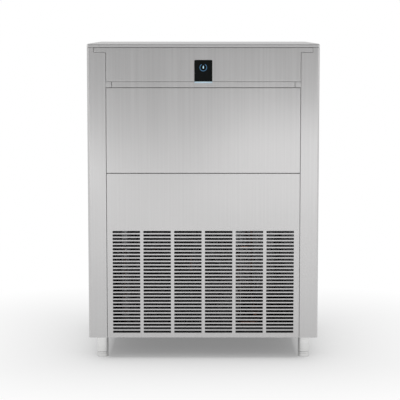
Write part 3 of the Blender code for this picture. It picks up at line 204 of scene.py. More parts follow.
backdrop = add_node(tree, "ShaderNodeMapRange", (-4, -1), {"interpolation_type": "SMOOTHSTEP"},
                    {"From Min": BACKDROP_FROM, "From Max": BACKDROP_TO, "To Max": MIRRORED_BACK})
wire(tree, axes, "Y", backdrop, "Value")
wire(tree, sides, "Result", backdrop, "To Min")
mirrored = add_node(tree, "ShaderNodeBackground", (-2, -1), None, {"Color": (1.0, 1.0, 1.0, 1.0)})
wire(tree, backdrop, "Result", mirrored, "Strength")
white = add_node(tree, "ShaderNodeBackground", (-2, -2), None,
                 {"Color": (1.0, 1.0, 1.0, 1.0), "Strength": 1.0})
gloss = add_node(tree, "ShaderNodeMixShader", (-1, 0))
wire(tree, path, "Is Glossy Ray", gloss, "Fac")
wire(tree, light, "Background", gloss, 1)
wire(tree, mirrored, "Background", gloss, 2)
blend = add_node(tree, "ShaderNodeMixShader", (0, 0))
wire(tree, seen, "Value", blend, "Fac")
wire(tree, gloss, "Shader", blend, 1)
wire(tree, white, "Background", blend, 2)
end = add_node(tree, "ShaderNodeOutputWorld", (1, 0))
wire(tree, blend, "Shader", end, "Surface")

# %% [markdown]
# ## The lamps
#
# Brushed steel shows what stands in front of it as a soft band. A low, wide softbox in front, a
# little to the right, lights the lower half of the cabinet. Three small ones stand closer: the
# middle one lifts a band across the door, the right and the left one lift the upper part of the
# pillars. A big soft light overhead lights the lid and lays the shadow under the machine.

# %% Lamps
def add_softbox(name, place, target, size, watts):
    """A rectangular area lamp at a place, aimed at a target. The camera doesn't see it."""
    data = bpy.data.lights.new(name, "AREA")
    data.shape = "RECTANGLE"
    data.size = size[0]
    data.size_y = size[1]
    data.energy = watts
    lamp = bpy.data.objects.new(name, data)
    lamp.location = place
    aim = Vector(target) - Vector(place)
    lamp.rotation_euler = aim.to_track_quat("-Z", "Y").to_euler()
    lamp.visible_camera = False
    bpy.context.scene.collection.objects.link(lamp)
    return lamp


FRONT_WATTS = 1.7
TOP_WATTS = 1.5
MIDDLE_WATTS = 0.21
RIGHT_WATTS = 0.34
LEFT_WATTS = 0.235

add_softbox("front_softbox", (0.35, -1.75, 0.36), (0.30, 0.0, 0.40), (2.4, 0.62), FRONT_WATTS)
add_softbox("top_softbox", (0.0, -0.4, 3.2), (0.0, 0.0, 0.0), (3.0, 3.0), TOP_WATTS)
add_softbox("middle_softbox", (0.15, -1.05, 0.60), (0.10, -0.37, 0.64), (1.6, 0.22), MIDDLE_WATTS)
add_softbox("right_softbox", (0.50, -1.15, 0.76), (0.44, -0.37, 0.79), (0.80, 0.20), RIGHT_WATTS)
add_softbox("left_softbox", (-0.66, -1.15, 0.70), (-0.42, -0.37, 0.74), (0.35, 0.26), LEFT_WATTS)
bpy.context.scene.view_settings.view_transform = "Standard"

# %% [markdown]
# ## Grain that runs along the sheet
#
# Stainless steel sheet is brushed with a belt in one direction. Close up it is a mass of hair-fine
# scratches, from afar a few faint streaks. A noise pattern that is squeezed across the brushing
# direction and pulled long in that direction gives both. It is built once as a group, so that
# every brushed part can use it with its own direction. Three scales are put out as masks: fine
# hairs, streaks a few millimetres wide and slow clouds.

# %% Group: brushed grain
def new_group(name, inputs, outputs):
    """A shader node group with named sockets. inputs and outputs are (name, type, default)."""
    group = bpy.data.node_groups.new(name, "ShaderNodeTree")
    for direction, sockets in (("INPUT", inputs), ("OUTPUT", outputs)):
        for label, kind, default in sockets:
            socket = group.interface.new_socket(label, in_out=direction, socket_type=kind)
            if default is not None:
                socket.default_value = default
    return group


FLOAT = "NodeSocketFloat"
VECTOR = "NodeSocketVector"

grain = new_group(
    "Brushed grain", [("Stretch", VECTOR, (1.0, 1.0, 0.02))],
    [("Hairs", FLOAT, None), ("Streaks", FLOAT, None), ("Clouds", FLOAT, None)])
into = add_node(grain, "NodeGroupInput", (-4, 0))
out = add_node(grain, "NodeGroupOutput", (3, 0))
place = add_node(grain, "ShaderNodeTexCoord", (-4, 1))
squeeze = add_node(grain, "ShaderNodeVectorMath", (-3, 0), {"operation": "MULTIPLY"})
wire(grain, place, "Object", squeeze, 0)
wire(grain, into, "Stretch", squeeze, 1)
for level, (output, scale, detail) in enumerate((("Hairs", 900.0, 3.0), ("Streaks", 130.0, 2.0))):
    noise = add_node(grain, "ShaderNodeTexNoise", (-1, 1 - level), None,
                     {"Scale": scale, "Detail": detail, "Roughness": 0.6})
    wire(grain, squeeze, "Vector", noise, "Vector")
    wire(grain, noise, "Fac", out, output)
cloud = add_texture(grain, "Noise", (-1, -1), place, {"Scale": 3.0, "Detail": 2.0, "Roughness": 0.5})
wire(grain, cloud, "Fac", out, "Clouds")
print("Grain group puts out:", [socket.name for socket in out.inputs if socket.name])

# %% [markdown]
# ## Worn edges and painted highlights
#
# Hands, cloths and trolleys rub a sheet first along its folds, so a fold is a touch brighter and
# smoother than the flat beside it. The brighter colour at an edge is also a painted highlight, for
# the light that a round fold catches. The Bevel node gives the normal that the surface would have
# if its edges were round. Where that differs from the real normal there is an edge, and the
# difference is a mask for wear and painted highlight. A noise breaks the line up, because wear is
# never even.

# %% Group: edge wear and painted highlight
wear_and_highlight = new_group(
    "Edge wear", [("Radius", FLOAT, 0.0012), ("Breaks", FLOAT, 60.0)], [("Worn", FLOAT, None)])
into = add_node(wear_and_highlight, "NodeGroupInput", (-5, 0))
out = add_node(wear_and_highlight, "NodeGroupOutput", (3, 0))
rounded = add_node(wear_and_highlight, "ShaderNodeBevel", (-4, 0), {"samples": 4})
wire(wear_and_highlight, into, "Radius", rounded, "Radius")
shape = add_node(wear_and_highlight, "ShaderNodeNewGeometry", (-4, -1))
match = add_node(wear_and_highlight, "ShaderNodeVectorMath", (-3, 0), {"operation": "DOT_PRODUCT"})
wire(wear_and_highlight, rounded, "Normal", match, 0)
wire(wear_and_highlight, shape, "Normal", match, 1)
line = add_node(wear_and_highlight, "ShaderNodeMapRange", (-2, 0), None,
                {"From Min": 0.985, "From Max": 0.80, "To Min": 0.0, "To Max": 1.0})
wire(wear_and_highlight, match, "Value", line, "Value")
place = add_node(wear_and_highlight, "ShaderNodeTexCoord", (-4, 1))
noise = add_texture(wear_and_highlight, "Noise", (-2, 1), place, {"Detail": 2.0})
wire(wear_and_highlight, into, "Breaks", noise, "Scale")
gaps = add_node(wear_and_highlight, "ShaderNodeMapRange", (-1, 1), None, {"From Min": 0.35, "From Max": 0.62})
wire(wear_and_highlight, noise, "Fac", gaps, "Value")
worn_and_lit = maths(wear_and_highlight, (1, 0), "MULTIPLY", (line, "Result"), (gaps, "Result"))
wire(wear_and_highlight, worn_and_lit, "Value", out, "Worn")

# %% [markdown]
# ## Dust on what lies flat
#
# Inside the machine compartment the fan draws in kitchen air, and fine dust settles on whatever
# faces up. The Z part of the surface normal says how much a place faces up, and a noise makes the
# dust lie in patches. Black and metal parts in the compartment take this mask.

# %% Group: settled dust
dust = new_group("Settled dust", [("Patches", FLOAT, 25.0)], [("Dust", FLOAT, None)])
into = add_node(dust, "NodeGroupInput", (-5, 0))
out = add_node(dust, "NodeGroupOutput", (3, 0))
shape = add_node(dust, "ShaderNodeNewGeometry", (-4, 0))
parts = add_node(dust, "ShaderNodeSeparateXYZ", (-3, 0))
wire(dust, shape, "Normal", parts, "Vector")
upward = add_node(dust, "ShaderNodeMapRange", (-2, 0), None, {"From Min": 0.3, "From Max": 1.0})
wire(dust, parts, "Z", upward, "Value")
place = add_node(dust, "ShaderNodeTexCoord", (-4, 1))
noise = add_texture(dust, "Noise", (-2, 1), place, {"Detail": 5.0, "Roughness": 0.65})
wire(dust, into, "Patches", noise, "Scale")
patch = add_node(dust, "ShaderNodeMapRange", (-1, 1), None, {"From Min": 0.3, "From Max": 0.75})
wire(dust, noise, "Fac", patch, "Value")
laid = maths(dust, (1, 0), "MULTIPLY", (upward, "Result"), (patch, "Result"))
wire(dust, laid, "Value", out, "Dust")
print("Groups:", [group.name for group in bpy.data.node_groups])

# %% [markdown]
# ## Brushed steel
#
# The front, the sides, the lid and the feet are stainless steel. Steel is nearly colourless, so
# its look comes from gloss: a wide, dull highlight whose width changes a little from streak to
# streak. The streaks also feed a very low bump, and folds turn a little lighter and glossier, as
# wear and as a painted highlight. The sheets of the front are brushed upright, the lid along its
# width and turned feet round about. The lid and the feet take lighter copies of the steel, which
# is painted light.

# %% Material: brushed steel
def blank_material(name, constants):
    """A material with its Principled shader, whose constant sockets are filled in."""
    material = bpy.data.materials.new(name)
    material.use_nodes = True
    shader = material.node_tree.nodes["Principled BSDF"]
    shader.location = (800, 0)
    material.node_tree.nodes["Material Output"].location = (1100, 0)
    for socket, value in constants.items():
        shader.inputs[socket].default_value = value
    return material, material.node_tree, shader


def add_group(tree, group, place, values=None):
    """Put one of the groups above into a material's graph."""
    node = add_node(tree, "ShaderNodeGroup", place, {"node_tree": group})
    for name, value in (values or {}).items():
        node.inputs[name].default_value = value
    return node


def two_tones(tree, place, mask, output, dark, light, low=0.3, high=0.7):
    """A ramp from dark to light over a mask."""
    ramp = add_node(tree, "ShaderNodeValToRGB", place)
    ramp.color_ramp.elements[0].position = low
    ramp.color_ramp.elements[0].color = (*dark, 1.0)
    ramp.color_ramp.elements[1].position = high
    ramp.color_ramp.elements[1].color = (*light, 1.0)
    wire(tree, mask, output, ramp, "Fac")
    return ramp


def span(tree, place, mask, output, low, high, start=0.3, end=0.7):
    """Turn a mask into numbers between low and high."""
    node = add_node(tree, "ShaderNodeMapRange", place, None,
                    {"From Min": start, "From Max": end, "To Min": low, "To Max": high})
    wire(tree, mask, output, node, "Value")
    return node


def mix_colour(tree, place, mask, output, first, colour):
    """Blend from a node's colour to a fixed colour by a mask."""
    node = add_node(tree, "ShaderNodeMix", place, {"data_type": "RGBA"})
    wire(tree, mask, output, node, 0)
    wire(tree, first, "Result" if first.bl_idname == "ShaderNodeMix" else "Color", node, 6)
    node.inputs[7].default_value = (*colour, 1.0)
    return node


def wire_colour(tree, node, shader):
    """Lead a ramp's or a blend's colour into the shader."""
    tree.links.new(node.outputs[2 if node.bl_idname == "ShaderNodeMix" else "Color"],
                   shader.inputs["Base Color"])


def add_bump(tree, place, shader, mask, output, strength, distance):
    """Let a mask raise and lower the surface by up to a distance in metres."""
    bump = add_node(tree, "ShaderNodeBump", place, None, {"Strength": strength, "Distance": distance})
    wire(tree, mask, output, bump, "Height")
    wire(tree, bump, "Normal", shader, "Normal")
    return bump


STEEL_DARK = (0.545, 0.540, 0.540)
STEEL_LIGHT = (0.585, 0.580, 0.580)
# Folds turn lighter, as wear and as a painted highlight.
STEEL_WORN_AND_LIT = (0.70, 0.70, 0.70)


def steel_material(name, stretch, dark=STEEL_DARK, light=STEEL_LIGHT, rough=0.33):
    """Steel brushed in the direction that the grain is stretched in. rough is its gloss."""
    material, tree, shader = blank_material(name, {"Metallic": 0.9, "Roughness": 0.36})
    streaks = add_group(tree, grain, (-4, 0), {"Stretch": stretch})
    edges = add_group(tree, wear_and_highlight, (-4, -2))
    tone = two_tones(tree, (-2, 1), streaks, "Streaks", dark, light)
    worn_and_lit = mix_colour(tree, (0, 1), edges, "Worn", tone, STEEL_WORN_AND_LIT)
    wire_colour(tree, worn_and_lit, shader)
    gloss = span(tree, (-2, 0), streaks, "Streaks", rough, rough + 0.06)
    slow = span(tree, (-2, -1), streaks, "Clouds", -0.02, 0.02)
    summed = maths(tree, (0, 0), "ADD", (gloss, "Result"), (slow, "Result"))
    rubbed = maths(tree, (0, -1), "MULTIPLY", (edges, "Worn"), 0.08)
    dulled = maths(tree, (1, 0), "SUBTRACT", (summed, "Value"), (rubbed, "Value"))
    wire(tree, dulled, "Value", shader, "Roughness")
    add_bump(tree, (1, -2), shader, streaks, "Hairs", 0.10, 0.0002)
    return material


steel_upright = steel_material("steel brushed upright", (1.0, 1.0, 0.012))
steel_along = steel_material("steel brushed along", (0.012, 1.0, 1.0))
# The lid's copy is lighter: painted light that lifts its narrow front to the fascia's brightness.
steel_lid_lightened = steel_material("steel brushed along the lid", (0.012, 1.0, 1.0),
                           (0.64, 0.635, 0.635), (0.68, 0.675, 0.675))
# The feet's copy is glossier, for their polish, and lighter, which is painted light.
steel_round_lightened = steel_material("steel turned round", (0.15, 0.15, 1.0),
                             (0.73, 0.73, 0.725), (0.79, 0.79, 0.785), 0.12)
print("Steel:", steel_upright.name, steel_along.name, steel_round_lightened.name)

# %% [markdown]
# ## Zinc coated steel
#
# The tray, the frames, the rear panel and the control box are hidden, so they are plain steel
# dipped in zinc. Zinc freezes in crystals that show as a patchwork of greys, called spangle. A
# Voronoi pattern gives each crystal one random tone, which drives both colour and gloss. The tray
# and the frames low in the machine take a near-black version, which is painted shade: it keeps
# the slots of the grille dark.

# %% Material: zinc coated steel
def zinc_material(name, crystals, dark, light, bright=(0.62, 0.63, 0.64)):
    """Zinc with crystals of its own size, in tones from dark to light and bright at its edges, as wear and
    as a painted highlight.
    """
    material, tree, shader = blank_material(name, {"Metallic": 0.85, "Roughness": 0.5})
    place = add_node(tree, "ShaderNodeTexCoord", (-6, 0))
    wobble = add_texture(tree, "Noise", (-5, -1), place, {"Scale": 30.0, "Detail": 3.0})
    shift = add_node(tree, "ShaderNodeVectorMath", (-4, -1), {"operation": "SCALE"})
    wire(tree, wobble, "Color", shift, 0)
    shift.inputs["Scale"].default_value = 0.012
    moved = add_node(tree, "ShaderNodeVectorMath", (-4, 0), {"operation": "ADD"})
    wire(tree, place, "Object", moved, 0)
    wire(tree, shift, "Vector", moved, 1)
    cells = add_node(tree, "ShaderNodeTexVoronoi", (-3, 0), None, {"Scale": crystals})
    wire(tree, moved, "Vector", cells, "Vector")
    tones = add_node(tree, "ShaderNodeSeparateColor", (-2, 0))
    wire(tree, cells, "Color", tones, "Color")
    spangle = two_tones(tree, (-1, 1), tones, "Red", dark, light, 0.0, 1.0)
    edges = add_group(tree, wear_and_highlight, (-2, -2), {"Breaks": 90.0})
    worn_and_lit = mix_colour(tree, (0, 1), edges, "Worn", spangle, bright)
    wire_colour(tree, worn_and_lit, shader)
    gloss = span(tree, (-1, 0), tones, "Green", 0.40, 0.56, 0.0, 1.0)
    wire(tree, gloss, "Result", shader, "Roughness")
    add_bump(tree, (0, -2), shader, tones, "Blue", 0.06, 0.0003)
    return material


zinc = zinc_material("zinc coated steel", 120.0, (0.39, 0.40, 0.41), (0.45, 0.46, 0.47))
# Near-black zinc: painted shade for the dim parts behind the grille.
shade_dark_zinc = zinc_material("darkened zinc", 120.0, (0.045, 0.046, 0.048), (0.065, 0.066, 0.068),
                          (0.11, 0.11, 0.115))

# %% [markdown]
# ## Paint, copper, aluminium and chrome
#
# The compressor, the fan and its motor wear black enamel that dries with the dimples of an orange
# peel. Copper pipes are bright where they are handled and brown where flux and heat have been.
# The tube in the condenser takes near-black tones, which are painted shade for the dim space
# behind the grille. The thin aluminium fins beside it are pressed with ripples, which a wave
# pattern draws, and are dark grey: dust, and painted shade. The door's shaft and the curtain rod
# are chromed and ground, with fine rings across their length.

# %% Material: black enamel
def enamel_material(name, dark, light, grain_size):
    """Paint with an orange peel and with dust on what lies flat."""
    material, tree, shader = blank_material(name, {"Metallic": 0.0, "Roughness": 0.42})
    place = add_node(tree, "ShaderNodeTexCoord", (-5, 0))
    peel = add_texture(tree, "Noise", (-4, -1), place, {"Scale": grain_size, "Detail": 1.0})
    patch = add_texture(tree, "Noise", (-4, 1), place, {"Scale": 14.0, "Detail": 4.0})
    tone = two_tones(tree, (-2, 1), patch, "Fac", dark, light)
    edges = add_group(tree, wear_and_highlight, (-3, -3))
    # Edges turn lighter: wear, and a painted highlight.
    worn_and_lit = mix_colour(tree, (-1, 1), edges, "Worn", tone, (0.09, 0.09, 0.09))
    settled = add_group(tree, dust, (-2, -2))
    dusty = mix_colour(tree, (0, 1), settled, "Dust", worn_and_lit, (0.13, 0.125, 0.115))
    wire_colour(tree, dusty, shader)
    gloss = span(tree, (-2, 0), patch, "Fac", 0.34, 0.48)
    dull = maths(tree, (0, 0), "ADD", (gloss, "Result"), (settled, "Dust"))
    wire(tree, dull, "Value", shader, "Roughness")
    add_bump(tree, (0, -2), shader, peel, "Fac", 0.12, 0.0004)
    return material


black_enamel = enamel_material("black enamel", (0.016, 0.016, 0.017), (0.026, 0.026, 0.027), 420.0)


# %% Material: drawn copper
def copper_material(name, brown, bright, worn_and_lit_tone):
    """Copper that is stained brown in patches."""
    material, tree, shader = blank_material(name, {"Metallic": 1.0, "Roughness": 0.32})
    place = add_node(tree, "ShaderNodeTexCoord", (-5, 0))
    stains = add_texture(tree, "Noise", (-4, 1), place,
                         {"Scale": 38.0, "Detail": 5.0, "Roughness": 0.62})
    fine = add_texture(tree, "Noise", (-4, -1), place, {"Scale": 600.0, "Detail": 2.0})
    tone = two_tones(tree, (-2, 1), stains, "Fac", brown, bright, 0.38, 0.56)
    edges = add_group(tree, wear_and_highlight, (-3, -3))
    # Edges turn lighter: wear, and a painted highlight.
    worn_and_lit = mix_colour(tree, (0, 1), edges, "Worn", tone, worn_and_lit_tone)
    wire_colour(tree, worn_and_lit, shader)
    gloss = span(tree, (-2, 0), stains, "Fac", 0.44, 0.26, 0.38, 0.56)
    wire(tree, gloss, "Result", shader, "Roughness")
    add_bump(tree, (0, -2), shader, fine, "Fac", 0.10, 0.0003)
    return material


copper = copper_material("drawn copper", (0.36, 0.17, 0.10), (0.74, 0.40, 0.27), (0.86, 0.52, 0.38))
# Near-black copper for the condenser's tube: painted shade for its dim place behind the grille.
shade_dark_copper = copper_material("copper under dust", (0.050, 0.036, 0.030), (0.085, 0.060, 0.050),
                               (0.12, 0.085, 0.07))


# %% Material: aluminium fins
def fin_material(name):
    """Rippled aluminium in dark grey, from dust and from painted shade."""
    material, tree, shader = blank_material(name, {"Metallic": 0.9, "Roughness": 0.45})
    place = add_node(tree, "ShaderNodeTexCoord", (-5, 0))
    fins = add_texture(tree, "Wave", (-4, 0), place,
                       {"Scale": 55.0, "Distortion": 0.6, "Detail": 1.0, "Detail Scale": 0.4},
                       {"bands_direction": "Z"})
    # The dark grey tones are dust and painted shade.
    tone = two_tones(tree, (-2, 1), fins, "Fac", (0.12, 0.122, 0.125), (0.19, 0.192, 0.196), 0.1, 0.9)
    settled = add_group(tree, dust, (-3, -2), {"Patches": 60.0})
    dusty = mix_colour(tree, (0, 1), settled, "Dust", tone, (0.11, 0.105, 0.10))
    wire_colour(tree, dusty, shader)
    gloss = span(tree, (-2, 0), fins, "Fac", 0.60, 0.38, 0.1, 0.9)
    wire(tree, gloss, "Result", shader, "Roughness")
    add_bump(tree, (0, -2), shader, fins, "Fac", 0.35, 0.0006)
    return material


shade_dark_fins = fin_material("aluminium fins")


# %% Material: ground chrome
def chrome_material(name):
    """Chrome with fine grinding rings about the X axis."""
    material, tree, shader = blank_material(name, {"Metallic": 1.0, "Roughness": 0.14})
    rings = add_group(tree, grain, (-4, 0), {"Stretch": (1.0, 0.02, 0.02)})
    tone = two_tones(tree, (-2, 1), rings, "Streaks", (0.62, 0.62, 0.63), (0.74, 0.74, 0.75))
    edges = add_group(tree, wear_and_highlight, (-4, -2))
    # Edges turn lighter: wear, and a painted highlight.
    worn_and_lit = mix_colour(tree, (0, 1), edges, "Worn", tone, (0.85, 0.85, 0.86))
    wire_colour(tree, worn_and_lit, shader)
    gloss = span(tree, (-2, 0), rings, "Streaks", 0.10, 0.20)
    wire(tree, gloss, "Result", shader, "Roughness")
    add_bump(tree, (0, -2), shader, rings, "Hairs", 0.08, 0.0002)
    return material


chrome = chrome_material("ground chrome")

# %% [markdown]
# ## Plastics, rubber and foam
#
# The tub of the bin, the spray arms and the curtain are white food-safe plastic, moulded in a
# blasted tool, so they have a fine satin grain and here and there a faint flow mark. Sump, hose
# and fittings are grey and a little coarser. The seal is soft black rubber with a grey bloom.
# The insulation of the bin is cut foam: small open cells that a Voronoi pattern pits.

# %% Materials: plastics and rubber
def moulded_material(name, dark, light, rough, grain_size, bump):
    """Plastic, rubber or foam with faint flow marks and a grain of its own size and depth."""
    material, tree, shader = blank_material(name, {"Metallic": 0.0, "Roughness": rough})
    place = add_node(tree, "ShaderNodeTexCoord", (-5, 0))
    flow = add_texture(tree, "Noise", (-4, 1), place, {"Scale": 9.0, "Detail": 3.0, "Distortion": 0.8})
    satin = add_texture(tree, "Voronoi", (-4, -1), place, {"Scale": grain_size})
    tone = two_tones(tree, (-2, 1), flow, "Fac", dark, light)
    edges = add_group(tree, wear_and_highlight, (-3, -3))
    # Edges turn a touch lighter: wear, and a painted highlight.
    rim = tuple(min(1.0, value * 1.06 + 0.01) for value in light)
    worn_and_lit = mix_colour(tree, (0, 1), edges, "Worn", tone, rim)
    wire_colour(tree, worn_and_lit, shader)
    gloss = span(tree, (-2, 0), flow, "Fac", rough - 0.05, rough + 0.05)
    wire(tree, gloss, "Result", shader, "Roughness")
    add_bump(tree, (0, -2), shader, satin, "Distance", bump, 0.0004)
    return material


white_plastic = moulded_material(
    "white plastic", (0.74, 0.75, 0.75), (0.80, 0.81, 0.81), 0.42, 900.0, 0.12)
grey_plastic = moulded_material(
    "grey plastic", (0.20, 0.21, 0.22), (0.26, 0.27, 0.28), 0.50, 700.0, 0.25)
black_rubber = moulded_material(
    "black rubber", (0.022, 0.022, 0.023), (0.045, 0.045, 0.045), 0.78, 1400.0, 0.3)
foam = moulded_material(
    "cut foam", (0.64, 0.63, 0.58), (0.72, 0.71, 0.67), 0.80, 260.0, 0.5)

# %% [markdown]
# ## Display glass and its light
#
# The display is a black printed pane. Glass is a plain dark, very smooth surface here, with
# fingers' traces that only change the gloss. Under the pane a clear strip spreads the light of a
# lamp behind its middle, so its glow fades a little towards both ends. That fade is painted with
# the distance from the middle of the machine.

# %% Materials: display glass, light strip, lit symbol
def glass_material(name):
    """Dark glass with finger marks in its gloss."""
    material, tree, shader = blank_material(
        name, {"Metallic": 0.0, "Roughness": 0.08, "Specular IOR Level": 0.1})
    place = add_node(tree, "ShaderNodeTexCoord", (-5, 0))
    smudge = add_texture(tree, "Noise", (-4, 0), place,
                         {"Scale": 70.0, "Detail": 4.0, "Distortion": 1.2})
    tone = two_tones(tree, (-2, 1), smudge, "Fac", (0.0055, 0.0068, 0.0066), (0.0075, 0.0090, 0.0088))
    wire_colour(tree, tone, shader)
    gloss = span(tree, (-2, 0), smudge, "Fac", 0.05, 0.16, 0.45, 0.7)
    wire(tree, gloss, "Result", shader, "Roughness")
    return material


def lit_material(name, colour, glow, strength, reach):
    """A lit part that glows most at the machine's middle and fades by reach metres beside it."""
    material, tree, shader = blank_material(
        name, {"Metallic": 0.0, "Roughness": 0.3, "Emission Strength": strength})
    place = add_node(tree, "ShaderNodeTexCoord", (-5, 0))
    axes = add_node(tree, "ShaderNodeSeparateXYZ", (-4, 0))
    wire(tree, place, "Object", axes, "Vector")
    side = maths(tree, (-3, 0), "ABSOLUTE", (axes, "X"), 0.0)
    light = two_tones(tree, (-1, 0), side, "Value", glow, tuple(value * 0.72 for value in glow), 0.0, reach)
    tree.links.new(light.outputs["Color"], shader.inputs["Emission Color"])
    mist = add_texture(tree, "Noise", (-4, 2), place, {"Scale": 300.0, "Detail": 2.0})
    tone = two_tones(tree, (-1, 2), mist, "Fac", tuple(value * 0.85 for value in colour), colour)
    wire_colour(tree, tone, shader)
    return material


display_glass = glass_material("display glass")
light_guide = lit_material("light strip", (0.30, 0.36, 0.40), (0.30, 0.40, 0.47), 0.8, 0.04)
lit_ring = lit_material("lit ring", (0.02, 0.05, 0.08), (0.045, 0.16, 0.30), 0.9, 0.04)
lit_mark = lit_material("lit mark", (0.20, 0.30, 0.36), (0.45, 0.72, 0.88), 0.9, 0.04)

# %% [markdown]
# ## Give every part its finish
#
# Each part came with the name of its finish. A dictionary turns that name into the material made
# above. A few parts of the same finish are then told apart: three are brushed along their width,
# and two take the near-black zinc, which is painted shade.

# %% Assign the finishes
FINISHES = {
    "brushed_steel": steel_upright, "zinc_steel": zinc, "black_paint": black_enamel,
    "copper": copper, "aluminium": shade_dark_fins, "white_plastic": white_plastic,
    "grey_plastic": grey_plastic, "black_rubber": black_rubber, "black_glass": display_glass,
    "light_guide": light_guide, "foam": foam, "chrome": chrome,
}

for name, item in nodes.items():
    finish = item.data.materials[0].name.split(".")[0]
    item.data.materials[0] = FINISHES[finish]
for name in ("top_cover", "front_rail", "evaporator_frame"):
    nodes[name].data.materials[0] = steel_along
# Tray and support frame take the near-black zinc of painted shade.
for name in ("base_tray", "support_frame"):
    nodes[name].data.materials[0] = shade_dark_zinc
print("Finishes given to", len(nodes), "parts")

# %% [markdown]
# ## Modelling with operators
#
# The sheets that show get their real form: a sheet is folded on a press brake, and every fold has
# a tight radius of just over a millimetre that catches a thin line of light. The pieces are
# made the way one works by hand in Blender: add a primitive, select by place, extrude, bevel,
# then give the sheet its wall. Before each operator only the wanted faces or edges are selected,
# since an operator works on all that is selected.

# %% Modelling helpers
SHEET_WALL = 0.0012
FOLD_RADIUS = 0.00125
FRONT_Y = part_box("grille_panel")[0][1]
TO_VIEWER = Vector((0.0, -1.0, 0.0))
SHARP_ANGLE = 0.5
NEAR = 1e-5
CUT_PAST = 0.01


def begin_cube(low, high):
    """A cube between two corners, alone selected, its place and size in its mesh."""
    bpy.ops.object.select_all(action="DESELECT")
    middle = [(a + b) / 2 for a, b in zip(low, high)]
    bpy.ops.mesh.primitive_cube_add(size=1.0, location=middle)
    piece = bpy.context.object
    piece.scale = [b - a for a, b in zip(low, high)]
    bpy.ops.object.transform_apply(location=True, rotation=True, scale=True)
    return piece


def begin_front_plane(low, high):
    """An upright plane that faces the viewer. low and high are (x, z), and y is the front."""
    bpy.ops.object.select_all(action="DESELECT")
    middle = ((low[0] + high[0]) / 2, FRONT_Y, (low[1] + high[1]) / 2)
    bpy.ops.mesh.primitive_plane_add(size=1.0, location=middle, rotation=(math.radians(90), 0, 0))
    piece = bpy.context.object
    piece.scale = (high[0] - low[0], high[1] - low[1], 1.0)
    bpy.ops.object.transform_apply(location=True, rotation=True, scale=True)
    return piece


def select(piece, kind, test):
    """In edit mode, select just the faces, edges or vertices that pass a test."""
    bpy.ops.mesh.select_mode(type={"faces": "FACE", "edges": "EDGE", "verts": "VERT"}[kind])
    mesh = bmesh.from_edit_mesh(piece.data)
    bpy.ops.mesh.select_all(action="DESELECT")
    mesh.normal_update()
    chosen = [element for element in getattr(mesh, kind) if test(element)]
    for element in chosen:
        element.select_set(True)
    bmesh.update_edit_mesh(piece.data)
    return len(chosen)


def middle_of(edge):
    """The middle of an edge."""
    return (edge.verts[0].co + edge.verts[1].co) / 2


def lies_at(edge, axis, place):
    """Whether both ends of an edge lie at a place along an axis."""
    return all(abs(vert.co[axis] - place) < NEAR for vert in edge.verts)


def along(edge, axis):
    """Whether an edge runs along an axis, 0 for x, 1 for y and 2 for z."""
    line = edge.verts[1].co - edge.verts[0].co
    return abs(line[axis]) > 0.999 * line.length


def extrude_by(shift):
    """Pull what is selected out by a shift."""
    bpy.ops.mesh.extrude_region_move(TRANSFORM_OT_translate={"value": shift})


def bevel(radius, segments):
    """Round the selected edges."""
    bpy.ops.mesh.bevel(offset=radius, segments=segments, affect="EDGES")


def open_up():
    """Take the selected faces away and leave their edges."""
    bpy.ops.mesh.delete(type="ONLY_FACE")


def turn_faces(inside=False):
    """Make all faces of the piece in edit mode look outwards, or inwards."""
    bpy.ops.mesh.select_all(action="SELECT")
    bpy.ops.mesh.normals_make_consistent(inside=inside)


def face_towards(piece, direction):
    """Turn all faces over if the largest one looks away from a direction."""
    mesh = bmesh.from_edit_mesh(piece.data)
    largest = max(mesh.faces, key=lambda face: face.calc_area())
    if largest.normal.dot(direction) < 0:
        bpy.ops.mesh.select_all(action="SELECT")
        bpy.ops.mesh.flip_normals()


def pick(piece, *others):
    """Select a piece, alone or with others, and make it the active one."""
    bpy.ops.object.select_all(action="DESELECT")
    for item in (piece, *others):
        item.select_set(True)
    bpy.context.view_layer.objects.active = piece


def apply_modifier(piece, kind, **settings):
    """Add a modifier with its settings and turn its result into the mesh."""
    modifier = piece.modifiers.new(kind.title(), kind)
    for name, value in settings.items():
        setattr(modifier, name, value)
    pick(piece)
    bpy.ops.object.modifier_apply(modifier=modifier.name)


def add_wall(piece, wall=SHEET_WALL):
    """Give a surface a wall behind its faces."""
    apply_modifier(piece, "SOLIDIFY", thickness=wall, offset=-1.0, use_even_offset=True)


def repeat(piece, count, step):
    """Repeat a piece a number of times, each time shifted by a step."""
    apply_modifier(piece, "ARRAY", count=count, use_relative_offset=False,
                   use_constant_offset=True, constant_offset_displace=step)


def cut_with(piece, tool):
    """Cut a tool out of a piece, then take the tool away."""
    apply_modifier(piece, "BOOLEAN", operation="DIFFERENCE", solver="EXACT", object=tool)
    bpy.data.objects.remove(tool)


def complete(piece, name, material, body, replaced=(), angle=35.0):
    piece.name = name
    piece.data.name = name
    piece.data.materials.clear()
    piece.data.materials.append(material)
    pick(piece)
    bpy.ops.object.shade_smooth_by_angle(angle=math.radians(angle))
    apply_modifier(piece, "WEIGHTED_NORMAL", keep_sharp=True, weight=100)
    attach(piece, body)
    if replaced:
        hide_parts(*replaced)
    print(name, "-", len(piece.data.polygons), "faces")
    return piece


# %% [markdown]
# ## Folded front panels
#
# Door, grille, rail and fascia are shallow pans: a flat front whose four edges are folded back.
# A plane is the flat front, its four edges are extruded back, the folds are bevelled to the bend
# radius, and the Solidify modifier gives the sheet its thickness towards the inside.

# %% Folded pans
def folded_pan(low, high, depth):
    """An open pan with folded edges, still without its wall."""
    piece = begin_front_plane(low, high)
    fold_back(piece, depth)
    return piece


